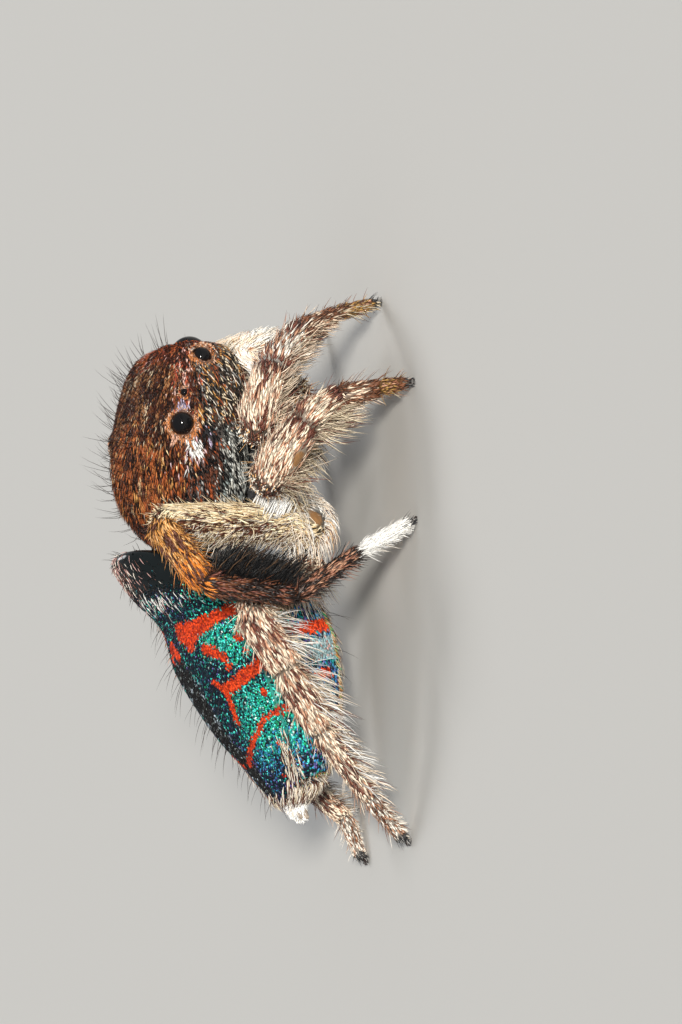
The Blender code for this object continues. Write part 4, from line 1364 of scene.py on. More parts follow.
# Markings of the abdomen's right half: stations and degrees from the top, and the half width
RED_BANDS = (
    (((4.24, 7), (4.34, 14), (4.28, 18)), 0.092),
    (((4.28, 18), (4.12, 36)), 0.070),
    (((4.12, 36), (4.01, 52), (3.92, 65), (3.86, 76)), 0.052),
    (((4.30, 8), (4.52, 12)), 0.070),
    (((4.45, -11), (4.70, -5)), 0.045),
    (((4.73, 25), (4.88, 34), (5.02, 38)), 0.046),
    (((5.02, 38), (5.27, 40)), 0.034),
    (((4.64, 56), (4.66, 57)), 0.040),
    (((4.98, 58), (5.00, 58)), 0.024),
    (((5.27, 72), (5.51, 58), (5.70, 41), (5.84, 27)), 0.060),
    (((5.84, 27), (6.23, 25), (6.70, 21)), 0.034),
    (((5.84, 27), (5.55, 20)), 0.028),
    (((6.13, 58), (6.15, 59)), 0.038),
    (((6.61, 77), (6.71, 61), (6.76, 50), (7.05, 38), (7.48, 14), (7.92, -4)), 0.028),
    (((7.55, 52), (7.56, 54)), 0.022),
    (((8.60, 40), (8.62, 44)), 0.016),
)
# Pale dots along the dark middle: station and degrees
PALE_DOTS = ((5.45, 3.0), (5.80, 1.0), (6.15, 4.0), (6.50, 0.0), (6.95, 2.0))
FLAP_PALETTE = {
    "bar": ((0.8, SCARLET), (0.2, BLOOD)),
    "pale": ((0.85, PALE_BLUE), (0.15, ROSE)),
    "rest": ((0.40, NAVY), (0.18, BLUE), (0.18, TEAL), (0.12, VIOLET), (0.12, PALE_BLUE)),
}
# Millimetres to a station and to a radian, where the markings are measured
MARK_SCALE = np.array((0.36, 0.80))
# The markings' middle lies a little to the left of the abdomen's top
MARK_MIDDLE = math.radians(-11.0)


def from_middle(turn: Array) -> Array:
    """The turn of the right-hand marking that a place shows, mirrored on the left."""
    return from_top(turn - MARK_MIDDLE) + MARK_MIDDLE


def abdomen_hair(count: int, shortest: float, longest: float, *colours: tuple) -> Tuft:
    """A tuft of the abdomen's fine hair."""
    return Tuft(count, 0.2, colours, (shortest, longest), (0.005, 0.008), 0.6)


@dataclass
class Abdomen:
    """The abdomen, the two flaps of its folded fan and the spinnerets."""

    chance: Chance
    # Stations down the abdomen: top Y, top Z, bottom Y, bottom Z, half width
    rows: tuple = (
        *((1.03, 2.38, 1.13, 1.78, 0.26), (1.01, 2.58, 1.16, 1.48, 0.46)),
        *((1.13, 2.62, 1.24, 1.15, 0.62), (1.39, 2.42, 1.34, 0.84, 0.73)),
        *((1.70, 2.10, 1.50, 0.60, 0.77), (2.12, 1.96, 1.75, 0.46, 0.80)),
        *((2.48, 1.76, 2.10, 0.40, 0.76), (2.82, 1.53, 2.47, 0.39, 0.66)),
        *((3.10, 1.29, 2.84, 0.43, 0.53), (3.33, 1.12, 3.14, 0.52, 0.37)),
        (3.45, 1.02, 3.37, 0.67, 0.21),
    )
    front: tuple = (1.04, 2.08)
    rear: tuple = (3.47, 0.85)
    squareness: float = 2.3
    flap_from: float = math.radians(68.0)
    flap_to: float = math.radians(132.0)
    flap_ends: tuple = (2.0, 9.0)
    flap_thickness: float = 0.07
    flap_gap: float = 0.035
    flap_columns: int = 30
    spinneret_path: tuple = ((3.42, 0.86), (3.51, 0.82), (3.57, 0.79))
    spinneret_radii: tuple = (0.10, 0.080, 0.050)
    skin_shade: float = 0.45
    scale_count: int = 18500
    flap_scale_count: int = 3900
    rear_hair: Tuft = abdomen_hair(3600, 0.06, 0.17, (0.36, WARM_WHITE), (0.24, STRAW), (0.40, BROWN))
    belly_hair: Tuft = abdomen_hair(1100, 0.10, 0.18, (0.4, ASH), (0.35, STRAW), (0.25, BROWN))
    edge_hair: Tuft = abdomen_hair(210, 0.04, 0.09, (0.35, BROWN), (0.40, ROSE), (0.25, WARM_WHITE))
    crest_hair: Tuft = abdomen_hair(80, 0.07, 0.14, (0.30, ASH), (0.15, ROSE), (0.55, WHITE))
    bristle: Tuft = Tuft(170, 0.2, ((1.0, UMBER),), (0.12, 0.30), (0.0030,))
    # The green share of the flap's gold edge hair is a painted glint.
    trim: Tuft = Tuft(
        700, 0.2, ((0.6, GOLD), (0.2, STRAW), (0.2, GREEN)), (0.05, 0.09), (0.006,), 0.6
    )
    end_tuft: Tuft = Tuft(
        900, 0.15, ((0.9, (1.0, 1.0, 0.98)), (0.1, WARM_WHITE)), (0.06, 0.10), (0.010,), 0.7
    )
    station: Array = field(init=False)
    turn: Array = field(init=False)
    sheet: Sheet = field(init=False)

    def __post_init__(self) -> None:
        """Lofts the skin, which dips below the flaps."""
        stations, turns = np.linspace(-1.0, 11.0, 200), ring_turns(168)
        self.station, self.turn = np.meshgrid(stations, turns, indexing="ij")
        covered = self.under_flap(self.station, self.turn)
        depth = COAT_DEPTH + (self.flap_thickness + self.flap_gap) * covered
        self.sheet = Sheet(self.rings(stations, turns, depth))

    def rings(self, stations: Array, turns: Array, depth: Array | float) -> Array:
        """Points of the abdomen's section.

        Args:
            stations: Places along it, -1 and 11 being its two ends.
            turns: Turns from the top towards the right.
            depth: How far the points lie inside.

        Returns:
            A grid of points.
        """
        front, rear = mid_plane(*self.front), mid_plane(*self.rear)
        at = stations + 1.0
        top = smooth_rows([front, *(mid_plane(*row[:2]) for row in self.rows), rear], at)
        low = smooth_rows([front, *(mid_plane(*row[2:4]) for row in self.rows), rear], at)
        half = smooth_rows([[0.01], *(row[4:] for row in self.rows), [0.01]], at)
        height = np.maximum(np.linalg.norm(top - low, axis=1) / 2.0, LEAST)
        rise = unit(top - low + 1e-5 * LEAN_UP)[:, None]
        x, y = superellipse(turns, self.squareness)
        wide = np.maximum(half - depth, LEAST) * x
        tall = np.maximum(height[:, None] - depth, LEAST) * y
        return (top + low)[:, None] / 2.0 + wide[..., None] * RIGHT + tall[..., None] * rise

    def under_flap(self, station: Array, turn: Array) -> Array:
        """Where a flap covers the abdomen.

        Args:
            station: Places along it.
            turn: Turns round it.

        Returns:
            1 under a flap and 0 elsewhere.
        """
        away, margin = from_top(turn), math.radians(5.0)
        first, last = self.flap_ends
        inside = ramp(away, self.flap_from + 0.01, self.flap_from + margin)
        inside = inside * ramp(away, self.flap_to + margin, self.flap_to)
        return inside * ramp(station, first - 0.3, first) * ramp(station, last + 0.3, last)

    @staticmethod
    def red_share(station: Array, turn: Array, wobble: Array) -> Array:
        """Where the red bands lie.

        Args:
            station: Places along the abdomen.
            turn: Turns from its top.
            wobble: What is added to the distances, so that edges are ragged.

        Returns:
            1 inside a band and 0 outside.
        """
        spot = np.stack([station, from_middle(turn)], axis=-1) * MARK_SCALE
        share, soft = np.zeros(station.shape), 0.012
        for path, half in RED_BANDS:
            line = [np.array((s, math.radians(t))) * MARK_SCALE for s, t in path]
            least = np.full(station.shape, math.inf)
            for a, b in zip(line, line[1:]):
                t = np.clip(((spot - a) @ (b - a)) / max((b - a) @ (b - a), 1e-9), 0.0, 1.0)
                least = np.minimum(least, distance(spot - t[..., None] * (b - a), a))
            share = np.maximum(share, ramp(least + wobble, half + soft, half - soft))
        return share

    def options(self, station: Array, turn: Array, wobble: Array) -> Mix:
        """The colours of the abdomen's scales, place by place, with a painted band of glints.

        Args:
            station: Places along it.
            turn: Turns from its top.
            wobble: Raggedness of the red edges.

        Returns:
            Pairs of weight and colour.
        """
        degrees = np.degrees(from_middle(turn))
        horn = ramp(station, 3.45, 2.85)
        belly = ramp(degrees, 116.0, 134.0)
        middle = ramp(degrees, 6.0, -3.0) * ramp(station, 4.6, 5.2) * ramp(station, 9.6, 9.0)
        rear = ramp(station, 6.8, 8.2)
        dots = np.max([near(station, s, 0.07) * near(degrees, t, 2.4) for s, t in PALE_DOTS], axis=0)
        # Painted reflection: inside the band where the iridescent scales catch the light they are painted
        # turquoise and glint colours (cold). Outside it they are painted dark navy with sparse glints
        # (calm).
        low = ramp(degrees + 9.0 * (station - 6.0), 15.0, 48.0)
        painted_glint_band = (
            0.10
            + 1.00 * near(station, 4.50, 0.50) * ramp(degrees, 16.0, 28.0)
            + 0.95 * near(station, 3.35, 0.34) * ramp(degrees, 34.0, 54.0)
            + 0.60 * near(station, 5.0, 0.3) * ramp(degrees, 26.0, 44.0)
            + 0.95 * ramp(station, 5.6, 6.0) * ramp(station, 8.8, 7.4) * low
        )
        painted_glint_band = np.clip(painted_glint_band, 0.0, 1.0)
        red = self.red_share(station, turn, wobble)
        plain_share = (1 - red) * (1 - horn) * (1 - belly) * (1 - middle)
        cold, calm = plain_share * painted_glint_band, plain_share * (1 - painted_glint_band)
        red = red * (1 - horn) * (1 - belly)
        middle = middle * (1 - horn) * (1 - red)
        return [
            (red * 0.76, SCARLET),
            (red * 0.24, BLOOD),
            (calm * 0.72, NAVY),
            (calm * 0.10, MIDNIGHT),
            (calm * 0.02, TEAL),
            (calm * 0.04 * (1 + 2 * rear), VIOLET),
            (calm * 0.014, GLINT),
            (cold * 0.22, TEAL),
            (cold * 0.22 * (1 - 0.6 * rear), TURQUOISE),
            (cold * 0.10 * (1 - rear), GREEN),
            (cold * 0.42 * rear, BLUE),
            (cold * 0.20 * (1 - 0.45 * rear), GLINT),
            (cold * 0.045 * (1 - 0.6 * rear), SPARK),
            (cold * 0.28, NAVY),
            (horn * 0.80, SOOT),
            (horn * 0.12, CHARCOAL),
            # Painted reflection: teal glints on the glossy black horn.
            (horn * 0.08, (0.01, 0.08, 0.09)),
            (middle * (1 - dots) * 0.90, SOOT),
            (middle * (1 - dots) * 0.07, STEEL),
            (middle * (0.03 + 0.9 * dots), ICE),
            (belly * 0.5, CHARCOAL),
            (belly * 0.3, ASH),
            (belly * 0.2, BROWN),
        ]

    def scale_coat(self) -> list[Batch]:
        """Overlapping scales; those at a flap's upper edge bridge to the flap.

        Returns:
            The glittering scales, and the velvet ones of red and black.
        """
        weight = 1.0 - self.under_flap(self.station, self.turn)
        weight = weight * (1.0 - 0.75 * ramp(from_top(self.turn), self.flap_from, self.flap_to))
        weight = weight * ramp(self.station, -0.9, -0.6)
        weight = weight * (1.0 - 0.985 * ramp(self.station, 3.2, 2.8))
        roots = self.sheet.plant(self.scale_count, self.chance, weight)
        n = len(roots)
        stations = self.station[:, 0]
        station = np.interp(roots.row, np.arange(len(stations)), stations)
        wobble = self.chance.normal(0.0, 0.010, n)
        tint = choose(self.chance.random(n), self.options(station, roots.turn, wobble))
        tint = shaded(self.chance, tint, 0.48, 1.22, n)
        lie = roots.sway(self.chance, square_to(roots.normal, roots.along), 0.22)
        length = self.chance.uniform(0.030, 0.047, n)
        width = self.chance.uniform(0.019, 0.027, n)
        lift = self.chance.uniform(0.02, 0.50, n)
        first, last = self.flap_ends
        bridge = near(from_top(roots.turn), self.flap_from, 0.09) > 0.5
        bridge = bridge & (station > first) & (station < last)
        around = square_to(roots.normal, np.sign(np.sin(roots.turn))[:, None] * RIGHT + FLOORWARD)
        lie = np.where(bridge[:, None], unit(0.35 * lie + around), lie)
        length = np.where(bridge, self.chance.uniform(0.09, 0.13, n), length)
        lift = np.where(bridge, self.chance.uniform(0.0, 0.12, n), lift)
        tilt = self.chance.normal(0.0, 0.28, n)[:, None] * np.cross(roots.normal, lie)
        tilted = replace(roots, normal=unit(roots.normal + np.where(bridge[:, None], 0.0, tilt)))
        cold = (tint[:, 2] > 1.15 * tint[:, 0]) & (tint.sum(axis=1) > 0.05)
        return [
            scales(tilted.keep(c), *(values[c] for values in (lie, length, width, lift, tint)))
            for c in (cold, ~cold)
        ]

    def tufts(self) -> list[Batch]:
        """Hair of the rear, the belly, the raised front edge and the crest behind it.

        Returns:
            The hair.
        """
        station, away = self.station, from_top(self.turn)
        rear = ramp(station, 8.8, 9.5) + 2.4 * ramp(station, 7.0, 8.0) * ramp(away, 0.70, 0.98)
        belly = ramp(away, self.flap_to - 0.1, self.flap_to + 0.15) * ramp(station, 0.0, 1.5)
        edge = near(np.sin((self.turn + 0.35) / 2.0), 0.0, 0.22) * near(station, 2.0, 1.0)
        crest = near(station, 3.3, 0.22) * near(np.sin((self.turn - 0.1) / 2.0), 0.0, 0.22)
        batches = []
        for tuft, weight, rise in (
            (self.rear_hair, rear, 0.80),
            (self.belly_hair, belly, 0.45),
            (self.edge_hair, edge, 0.3),
            (self.crest_hair, crest, 0.5),
        ):
            roots = self.sheet.plant(tuft.count, self.chance, weight)
            bend = 0.25 * roots.along - 0.30 * roots.normal
            batches.append(tuft.grow(self.chance, roots, roots.along + rise * roots.normal, bend))
        return batches

    def bristles(self) -> Batch:
        """Long dark bristles over the abdomen's top and front.

        Returns:
            The bristles.
        """
        weight = near(from_top(self.turn), 0.0, 0.7) * (0.5 + 0.8 * near(self.station, 1.0, 1.6))
        weight = (weight + 0.06) * (1.0 - self.under_flap(self.station, self.turn))
        roots = self.sheet.plant(self.bristle.count, self.chance, weight)
        share = 1.0 - 0.55 * ramp(roots.row, 96.0, 48.0)
        out = roots.normal + 0.5 * roots.along
        return self.bristle.grow(self.chance, roots, out, 0.3 * roots.along, share=share)

    def flap_options(self, station: Array, degrees: Array, side: Side) -> Mix:
        """The colours of a flap's scales: the abdomen's own near its upper edge.

        Args:
            station: Places along it.
            degrees: Degrees from the abdomen's top.
            side: The flap's side.

        Returns:
            Pairs of weight and colour.
        """
        own = ramp(degrees, 84.0, 94.0)
        above = self.options(station, side.value * np.radians(degrees), 0.0 * station)
        bars = [near(station, 6.05, 0.14) * ramp(degrees, 122, 116)]
        bars += [near(station, middle, half) for middle, half in ((4.75, 0.22), (7.45, 0.16), (3.1, 0.16))]
        bar = own * ramp(np.max(bars, axis=0), 0.35, 0.6)
        pale = own * ramp(near(station, 5.4, 0.35) * ramp(degrees, 96.0, 106.0), 0.3, 0.6) * (1 - bar)
        zones = {"bar": bar, "pale": pale, "rest": own * (1 - bar) * (1 - pale)}
        return [(weight * (1 - own), colour) for weight, colour in above] + mixed(zones, FLAP_PALETTE)

    def flap(self, side: Side, shop: Workshop) -> None:
        """One folded flap of the fan, with its scales and golden edge.

        Args:
            side: Its side.
            shop: What makes the pieces.
        """
        first, last = self.flap_ends
        count, inset, margin = self.flap_columns, 0.012, 0.06
        stations = np.linspace(first + margin, last - margin, 120)
        arc = side.value * np.linspace(self.flap_from, self.flap_to, count)
        outer = self.rings(stations, arc, inset)
        inner = self.rings(stations, arc[::-1], self.flap_thickness - inset)
        grid = np.concatenate([outer, inner], axis=1)
        middle = grid.mean(axis=1, keepdims=True) + 0.0 * grid
        sheet = Sheet(np.concatenate([middle[:1], grid, middle[-1:]]))
        along = np.concatenate([stations[:1], stations, stations[-1:]])
        degrees = np.degrees(np.abs(np.concatenate([arc, arc[::-1]])))
        places = np.meshgrid(along, degrees, indexing="ij")
        name = f"fan_flap_{side.word}"
        skin = [sheet_batch(sheet, 0.5 * average(self.flap_options(*places, side)))]
        shop.piece(f"{name}_skin", skin, Surface.VELVET, (name,))
        column = np.arange(sheet.columns)
        roots = sheet.plant(self.flap_scale_count, self.chance, 1.0 * (column < count))
        n = len(roots)
        where = np.interp(roots.row, np.arange(sheet.rows), along)
        turned = roots.turn * sheet.columns / FULL_TURN
        turned = np.interp(turned, np.arange(count), degrees[:count])
        wobble = self.chance.normal(0.0, 1.0, n)
        options = self.flap_options(where + 0.03 * wobble, turned + 1.5 * wobble, side)
        tint = shaded(self.chance, choose(self.chance.random(n), options), 0.6, 1.3, n)
        length = self.chance.uniform(0.044, 0.066, n)
        width = self.chance.uniform(0.025, 0.036, n)
        lift = self.chance.uniform(0.02, 0.35, n)
        coat = scales(roots, square_to(roots.normal, roots.along), length, width, lift, tint)
        edge = (column >= count - 2) & (column <= count)
        roots = sheet.plant(self.trim.count, self.chance, 1.0 * edge)
        out = roots.along + 0.9 * FLOORWARD
        trim = self.trim.grow(self.chance, roots, out, 0.2 * roots.along)
        shop.piece(f"{name}_scales", [coat, trim], Surface.VELVET)

    def spinnerets(self, shop: Workshop) -> None:
        """The spinnerets with their white tuft.

        Args:
            shop: What makes the pieces.
        """
        path = np.array([mid_plane(y, z) for y, z in self.spinneret_path])
        base = tube_sheet(path, self.spinneret_radii, 24, 26, LEAN_UP, (0.0, 0.0, 1.0, 0.5))
        batches = [plain(base, (0.20, 0.16, 0.13))]
        way = unit(path[-1] - path[0])
        for index, (across, rise) in enumerate(((1, 1), (-1, 1), (1, -1), (-1, -1))):
            start = path[1] + 0.045 * across * RIGHT + 0.035 * rise * LEAN_UP
            end = start + 0.11 * way + 0.02 * across * RIGHT
            line = np.array([start, (start + end) / 2, end])
            patch = (0.25 * index, 0.5, 0.25, 0.5)
            finger = tube_sheet(line, (0.036, 0.034, 0.022), 12, 14, LEAN_UP, patch)
            batches.append(plain(finger, (0.26, 0.21, 0.17)))
        solids = ("spinnerets",)
        shop.piece("spinnerets_skin", batches, Surface.LEG_HIDE, solids)
        roots = base.plant(self.end_tuft.count, self.chance)
        out = roots.along + 0.80 * roots.normal
        hair = self.end_tuft.grow(self.chance, roots, out, -0.2 * roots.normal)
        shop.piece("spinnerets_hair", [hair], Surface.FUR)

    def build(self, shop: Workshop) -> None:
        """Makes all the pieces of the abdomen.

        Args:
            shop: What makes them.
        """
        options = self.options(self.station, self.turn, 0.0 * self.turn)
        skin = [sheet_batch(self.sheet, self.skin_shade * average(options))]
        shop.piece("abdomen_skin", skin, Surface.HORN, ("abdomen",))
        glitter, velvet = self.scale_coat()
        more_glitter, more_velvet = self.scale_coat()
        for name, coat, surface in (
            ("abdomen_glitter", glitter, Surface.GLITTER),
            ("abdomen_glitter_second", more_glitter, Surface.GLITTER),
            ("abdomen_velvet", velvet, Surface.VELVET),
            ("abdomen_velvet_second", more_velvet, Surface.VELVET),
        ):
            shop.piece(name, [coat], surface)
        shop.piece("abdomen_hair", self.tufts(), Surface.FUR)
        shop.piece("abdomen_bristles", [self.bristles()], Surface.BRISTLE)
        for side in Side:
            self.flap(side, shop)
        self.spinnerets(shop)


class Part(IntEnum):
    """The lengths of a leg, from the body out."""

    COXA = 0
    FEMUR = 1
    PATELLA = 2
    TIBIA = 3
    METATARSUS = 4
    TARSUS = 5


@dataclass(frozen=True)
class Look:
    """The hair of one length of a leg: its colours, the share of light, its fringe and down."""

    light: Colour
    dark: Colour
    share: float
    third: Colour
    fringe: Colour = STRAW
    fringe_count: int = 0
    fringe_length: float = 0.3
    down_count: int = 0
    down: Colour = DOWN


@dataclass(frozen=True)
class Spot:
    """A bare round spot: its length of the leg, its place along and round it, and its radius."""

    part: Part
    share: float
    degrees: float
    radius: float


@dataclass(frozen=True)
class Plan:
    """One pair of legs: its sizes, its pose and its looks.

    A pose gives the heading and climb in degrees of each length from the femur on. The tarsus
    climbs as the floor asks. The two starts are places in the head's frame.
    """

    name: str
    coxa: tuple
    femur: tuple
    lengths: tuple
    radii: tuple
    swell: float
    ring_darkness: float
    right: tuple
    left: tuple
    looks: tuple[Look, ...]
    spots: tuple[Spot, ...] = ()


FRONT_LOOKS = (
    Look(ASH, CHARCOAL, 0.45, STEEL),
    Look(WARM_WHITE, BROWN, 0.61, TAWNY, STRAW, 160, 0.32, 260),
    Look(SHELL, MAHOGANY, 0.76, BUFF, CREAM, 90, 0.24, 140),
    Look(WARM_WHITE, MAHOGANY, 0.76, BUFF, CREAM, 110, 0.24, 140),
    Look(CREAM, CHESTNUT, 0.34, BUFF, CREAM, 50, 0.14, 50),
    Look(AMBER, CHESTNUT, 0.60, BUFF, STRAW, 30, 0.10, 30),
)
FRONT = Plan(
    name="i",
    coxa=(0.46, 0.36, -0.33),
    femur=(0.55, 0.75, -0.50),
    lengths=(1.36, 0.64, 0.57, 0.53, 0.50),
    radii=(0.150, 0.205, 0.185, 0.155, 0.105, 0.075),
    swell=1.15,
    ring_darkness=0.95,
    right=((149, 29), (-91, -17), (-61, -35), (-46, -53), (-41, None)),
    left=((15, 14), (-88, -16), (-112, -36), (-138, -62), (-143, None)),
    looks=FRONT_LOOKS,
    spots=(Spot(Part.FEMUR, 0.60, 42.0, 0.105),),
)
SECOND = Plan(
    name="ii",
    coxa=(0.13, 0.40, -0.34),
    femur=(0.15, 0.80, -0.55),
    lengths=(1.45, 0.67, 0.46, 0.43, 0.34),
    radii=(0.150, 0.205, 0.190, 0.150, 0.110, 0.075),
    swell=1.15,
    ring_darkness=0.95,
    right=((145, 26), (-107, -32), (-91, -53), (-160, -65), (180, None)),
    left=((24, 14), (-69, -31), (-82, -54), (-99, -70), (-109, None)),
    looks=(
        FRONT_LOOKS[Part.COXA],
        Look(WARM_WHITE, BROWN, 0.60, TAWNY, STRAW, 220, 0.36, 320),
        Look(SHELL, MAHOGANY, 0.80, BUFF, STRAW, 240, 0.40, 300),
        Look(SHELL, MAHOGANY, 0.75, BUFF, STRAW, 170, 0.34, 220),
        *FRONT_LOOKS[Part.METATARSUS :],
    ),
    spots=(Spot(Part.PATELLA, 0.55, 312.0, 0.085),),
)
DISPLAY = Plan(
    name="iii",
    coxa=(-0.22, 0.38, -0.34),
    femur=(-0.86, 1.04, -0.58),
    lengths=(1.80, 0.82, 0.91, 0.76, 0.56),
    radii=(0.170, 0.160, 0.145, 0.115, 0.085, 0.070),
    swell=1.16,
    ring_darkness=0.5,
    right=((173, 72), (118, -26), (140, -73), (-103, -56), (-112, None)),
    left=((5, 8), (69, -22), (83, -52), (-98, -30), (-108, None)),
    looks=(
        Look(WHITE, WARM_WHITE, 0.80, ASH),
        # The femur's dark down and the tibia's black fringe and down hang into the bend. They are dark hair,
        # and partly painted shade that fills the deep shade between femur and tibia.
        Look(WHEAT, BROWN, 0.86, OLIVE, WARM_WHITE, 340, 0.20, 520, BROWN),
        Look(HONEY, BROWN, 0.52, TAWNY, BROWN, 40, 0.11, 40, BROWN),
        Look(RUSSET, UMBER, 0.46, MAHOGANY, SOOT, 760, 0.36, 1150, SOOT),
        Look((0.30, 0.13, 0.08), UMBER, 0.56, BUFF, UMBER, 90, 0.15, 60, UMBER),
        Look(WHITE, WHITE, 0.85, WARM_WHITE, WHITE, 160, 0.10, 200, WHITE),
    ),
    spots=(Spot(Part.FEMUR, 0.04, 40.0, 0.090),),
)
REAR = Plan(
    name="iv",
    coxa=(-0.56, 0.32, -0.33),
    femur=(-1.23, 0.85, -0.65),
    lengths=(1.34, 0.68, 0.69, 0.84, 0.55),
    radii=(0.150, 0.185, 0.175, 0.150, 0.110, 0.080),
    swell=1.08,
    ring_darkness=-0.4,
    right=((145, 40), (101, -29), (90, -27), (76, -36), (71, None)),
    left=((36, 5), (114, -36), (121, -30), (137, -26), (124, None)),
    looks=(
        Look(WARM_WHITE, ASH, 0.50, WHITE),
        Look(SHELL, BROWN, 0.72, BUFF, CREAM, 90, 0.30, 90),
        Look(SHELL, MAHOGANY, 0.73, BUFF, WHITE, 90, 0.34, 40),
        Look(SHELL, MAHOGANY, 0.69, BUFF, WHITE, 110, 0.36, 50),
        Look(SHELL, MAHOGANY, 0.69, BUFF, WHITE, 90, 0.28, 50),
        Look(WARM_WHITE, CHESTNUT, 0.66, BUFF, WARM_WHITE, 40, 0.12, 40),
    ),
)
PLANS = (FRONT, SECOND, DISPLAY, REAR)


@dataclass
class Leg:
    """One leg, from its coxa to its foot."""

    plan: Plan
    side: Side
    chance: Chance
    coxa_radius: float = 0.145
    coxa_swell: float = 1.03
    outer_swell: tuple = (1.06, 1.06, 0.94, 1.0)
    waist_depth: float = 0.17
    waist_length: float = 0.045
    coxa_span: float = 0.5
    steepest: float = 0.95
    foot_rise: float = 0.075
    foot_radius: float = 0.055
    columns: int = 32
    ring_gap: float = 0.022
    bend_rings: int = 9
    lying_density: float = 1500.0
    standing_density: float = 120.0
    brush_count: int = 1150
    foot_brush_count: int = 150
    swirl: Tuft = Tuft(
        640, 0.12, ((0.45, WARM_WHITE), (0.3, CREAM), (0.25, WHITE)), (0.14, 0.26), (0.005, 0.008), 0.6
    )
    tuft: Tuft = Tuft(760, 0.11, ((1.0, PURE_WHITE),), (0.19, 0.29), (0.012,), 0.7)
    base_hair: Tuft = Tuft(
        620,
        0.30,
        ((0.34, WARM_WHITE), (0.22, SHELL), (0.32, WHITE), (0.06, TAWNY), (0.06, BROWN)),
        (0.13, 0.34),
        (0.006, 0.009),
        0.6,
    )
    root_hair: Tuft = Tuft(
        115,
        0.14,
        ((0.25, WHITE), (0.3, WARM_WHITE), (0.25, STRAW), (0.2, BROWN)),
        (0.18, 0.36),
        (0.0055, 0.0080),
        0.6,
    )
    joints: Array = field(init=False)
    ways: Array = field(init=False)
    spans: Array = field(init=False)
    part: Array = field(init=False)
    share: Array = field(init=False)
    sheet: Sheet = field(init=False)
    spots: list = field(init=False)

    def __post_init__(self) -> None:
        """Sets the joints, the skin and the bare spots."""
        self.joints = self.find_joints()
        self.ways = unit(np.diff(self.joints, axis=0))
        self.spans = np.array((self.coxa_span, *self.plan.lengths))
        self.sheet = self.lay_skin()
        self.spots = [self.find_spot(spot) for spot in self.plan.spots]

    def find_joints(self) -> Array:
        """Where the leg's lengths meet.

        Returns:
            The joints, from the coxa's start to the foot.
        """
        starts = np.array((self.plan.coxa, self.plan.femur)) * (1.0, self.side.value, 1.0)
        points = list(in_body(*starts.T))
        pose = self.plan.right if self.side is Side.RIGHT else self.plan.left
        for length, (heading, climb) in zip(self.plan.lengths, pose):
            drop = max(-self.steepest, (self.foot_rise - points[-1][2]) / length)
            turn, slope = math.radians(heading), math.asin(min(drop, 1.0))
            if climb is not None:
                slope = math.radians(climb)
            flat = math.cos(slope)
            step = (math.cos(turn) * flat, math.sin(turn) * flat, math.sin(slope))
            points.append(points[-1] + length * np.array(step))
        return np.array(points)

    def lay_skin(self) -> Sheet:
        """The leg's skin; the length and the share of it that each ring lies at are kept.

        Returns:
            The sheet.
        """
        joints, ways = self.joints, self.ways
        radii = np.array((self.coxa_radius, *self.plan.radii))
        spans = np.linalg.norm(np.diff(joints, axis=0), axis=1)
        rings, corner = [], np.zeros(len(joints))
        for k in range(1, len(joints) - 1):
            turn = math.acos(np.clip(ways[k - 1] @ ways[k], -1.0, 1.0))
            room = radii[k] * (0.25 + 0.55 * math.tan(min(turn, 2.0) / 2.0))
            corner[k] = min(room, 0.40 * min(spans[k - 1], spans[k]))
        for k, span in enumerate(spans):
            start, end = corner[k], span - corner[k + 1]
            steps = max(int((end - start) / self.ring_gap), 4)
            for at in np.linspace(start, end, steps, endpoint=False):
                rings.append((joints[k] + at * ways[k], k, at / span))
            if k + 1 == len(spans):
                break
            joint, reach = joints[k + 1], corner[k + 1]
            a, c = joint - reach * ways[k], joint + reach * ways[k + 1]
            for t in np.linspace(0.0, 1.0, self.bend_rings, endpoint=False):
                place = (1 - t) ** 2 * a + 2 * t * (1 - t) * joint + t * t * c
                gap = abs(t - 0.5) * 2.0 * reach
                inner = (place, k, 1.0 - gap / spans[k])
                rings.append(inner if t < 0.5 else (place, k + 1, gap / spans[k + 1]))
        rings = [ring for ring in rings if ring[1] != Part.TARSUS or ring[2] <= 0.90]
        foot = np.array((joints[-1][0], joints[-1][1], 0.012))
        rings += [(foot + (0.0, 0.0, 0.035), Part.TARSUS, 0.97), (foot, Part.TARSUS, 1.0)]
        centre, part, share = (np.array(values) for values in zip(*rings))
        way = unit(np.gradient(centre, axis=0))
        sheet = ring_sheet(centre, way, self.radius(part, share, radii), self.columns, FLOORWARD)
        cap = np.broadcast_to(foot - (0.0, 0.0, 0.008), sheet.points[:1].shape)
        self.part, self.share = np.append(part, Part.TARSUS), np.append(share, 1.0)
        return Sheet(np.concatenate([sheet.points, cap]))

    def radius(self, part: Array, share: Array, radii: Array) -> Array:
        """The skin's radius: swollen in the middle of a length and waisted at its ends.

        Args:
            part: The length that each ring lies at.
            share: How far along it.
            radii: The radius at each joint.

        Returns:
            The radii of the rings.
        """
        swell = np.array((self.coxa_swell, self.plan.swell, *self.outer_swell))[part]
        base = radii[part] + (radii[np.minimum(part + 1, 6)] - radii[part]) * share
        middle = 1.0 + (swell - 1.0) * np.sin(math.pi * np.clip(share, 0, 1)) ** 0.6
        edge = np.minimum(share, 1.0 - share) * self.spans[part]
        waist = 1.0 - self.waist_depth * near(edge, 0.0, self.waist_length)
        pad = (part == Part.TARSUS) & (share > 0.95)
        foot = np.where(pad, self.foot_radius / radii[-1] / np.maximum(waist, 0.1), 1.0)
        return np.maximum(base * middle * waist * foot - LEG_COAT_DEPTH, 0.02)

    def find_spot(self, spot: Spot) -> tuple[Array, Array, float]:
        """The place, the way out and the radius of a bare spot.

        Args:
            spot: The spot.

        Returns:
            The three.
        """
        row = np.argmin(np.abs(self.part + self.share - spot.part - spot.share))
        column = round(self.side.value * spot.degrees / 360.0 * self.columns) % self.columns
        return self.sheet.points[row, column], self.sheet.normals[row, column], spot.radius

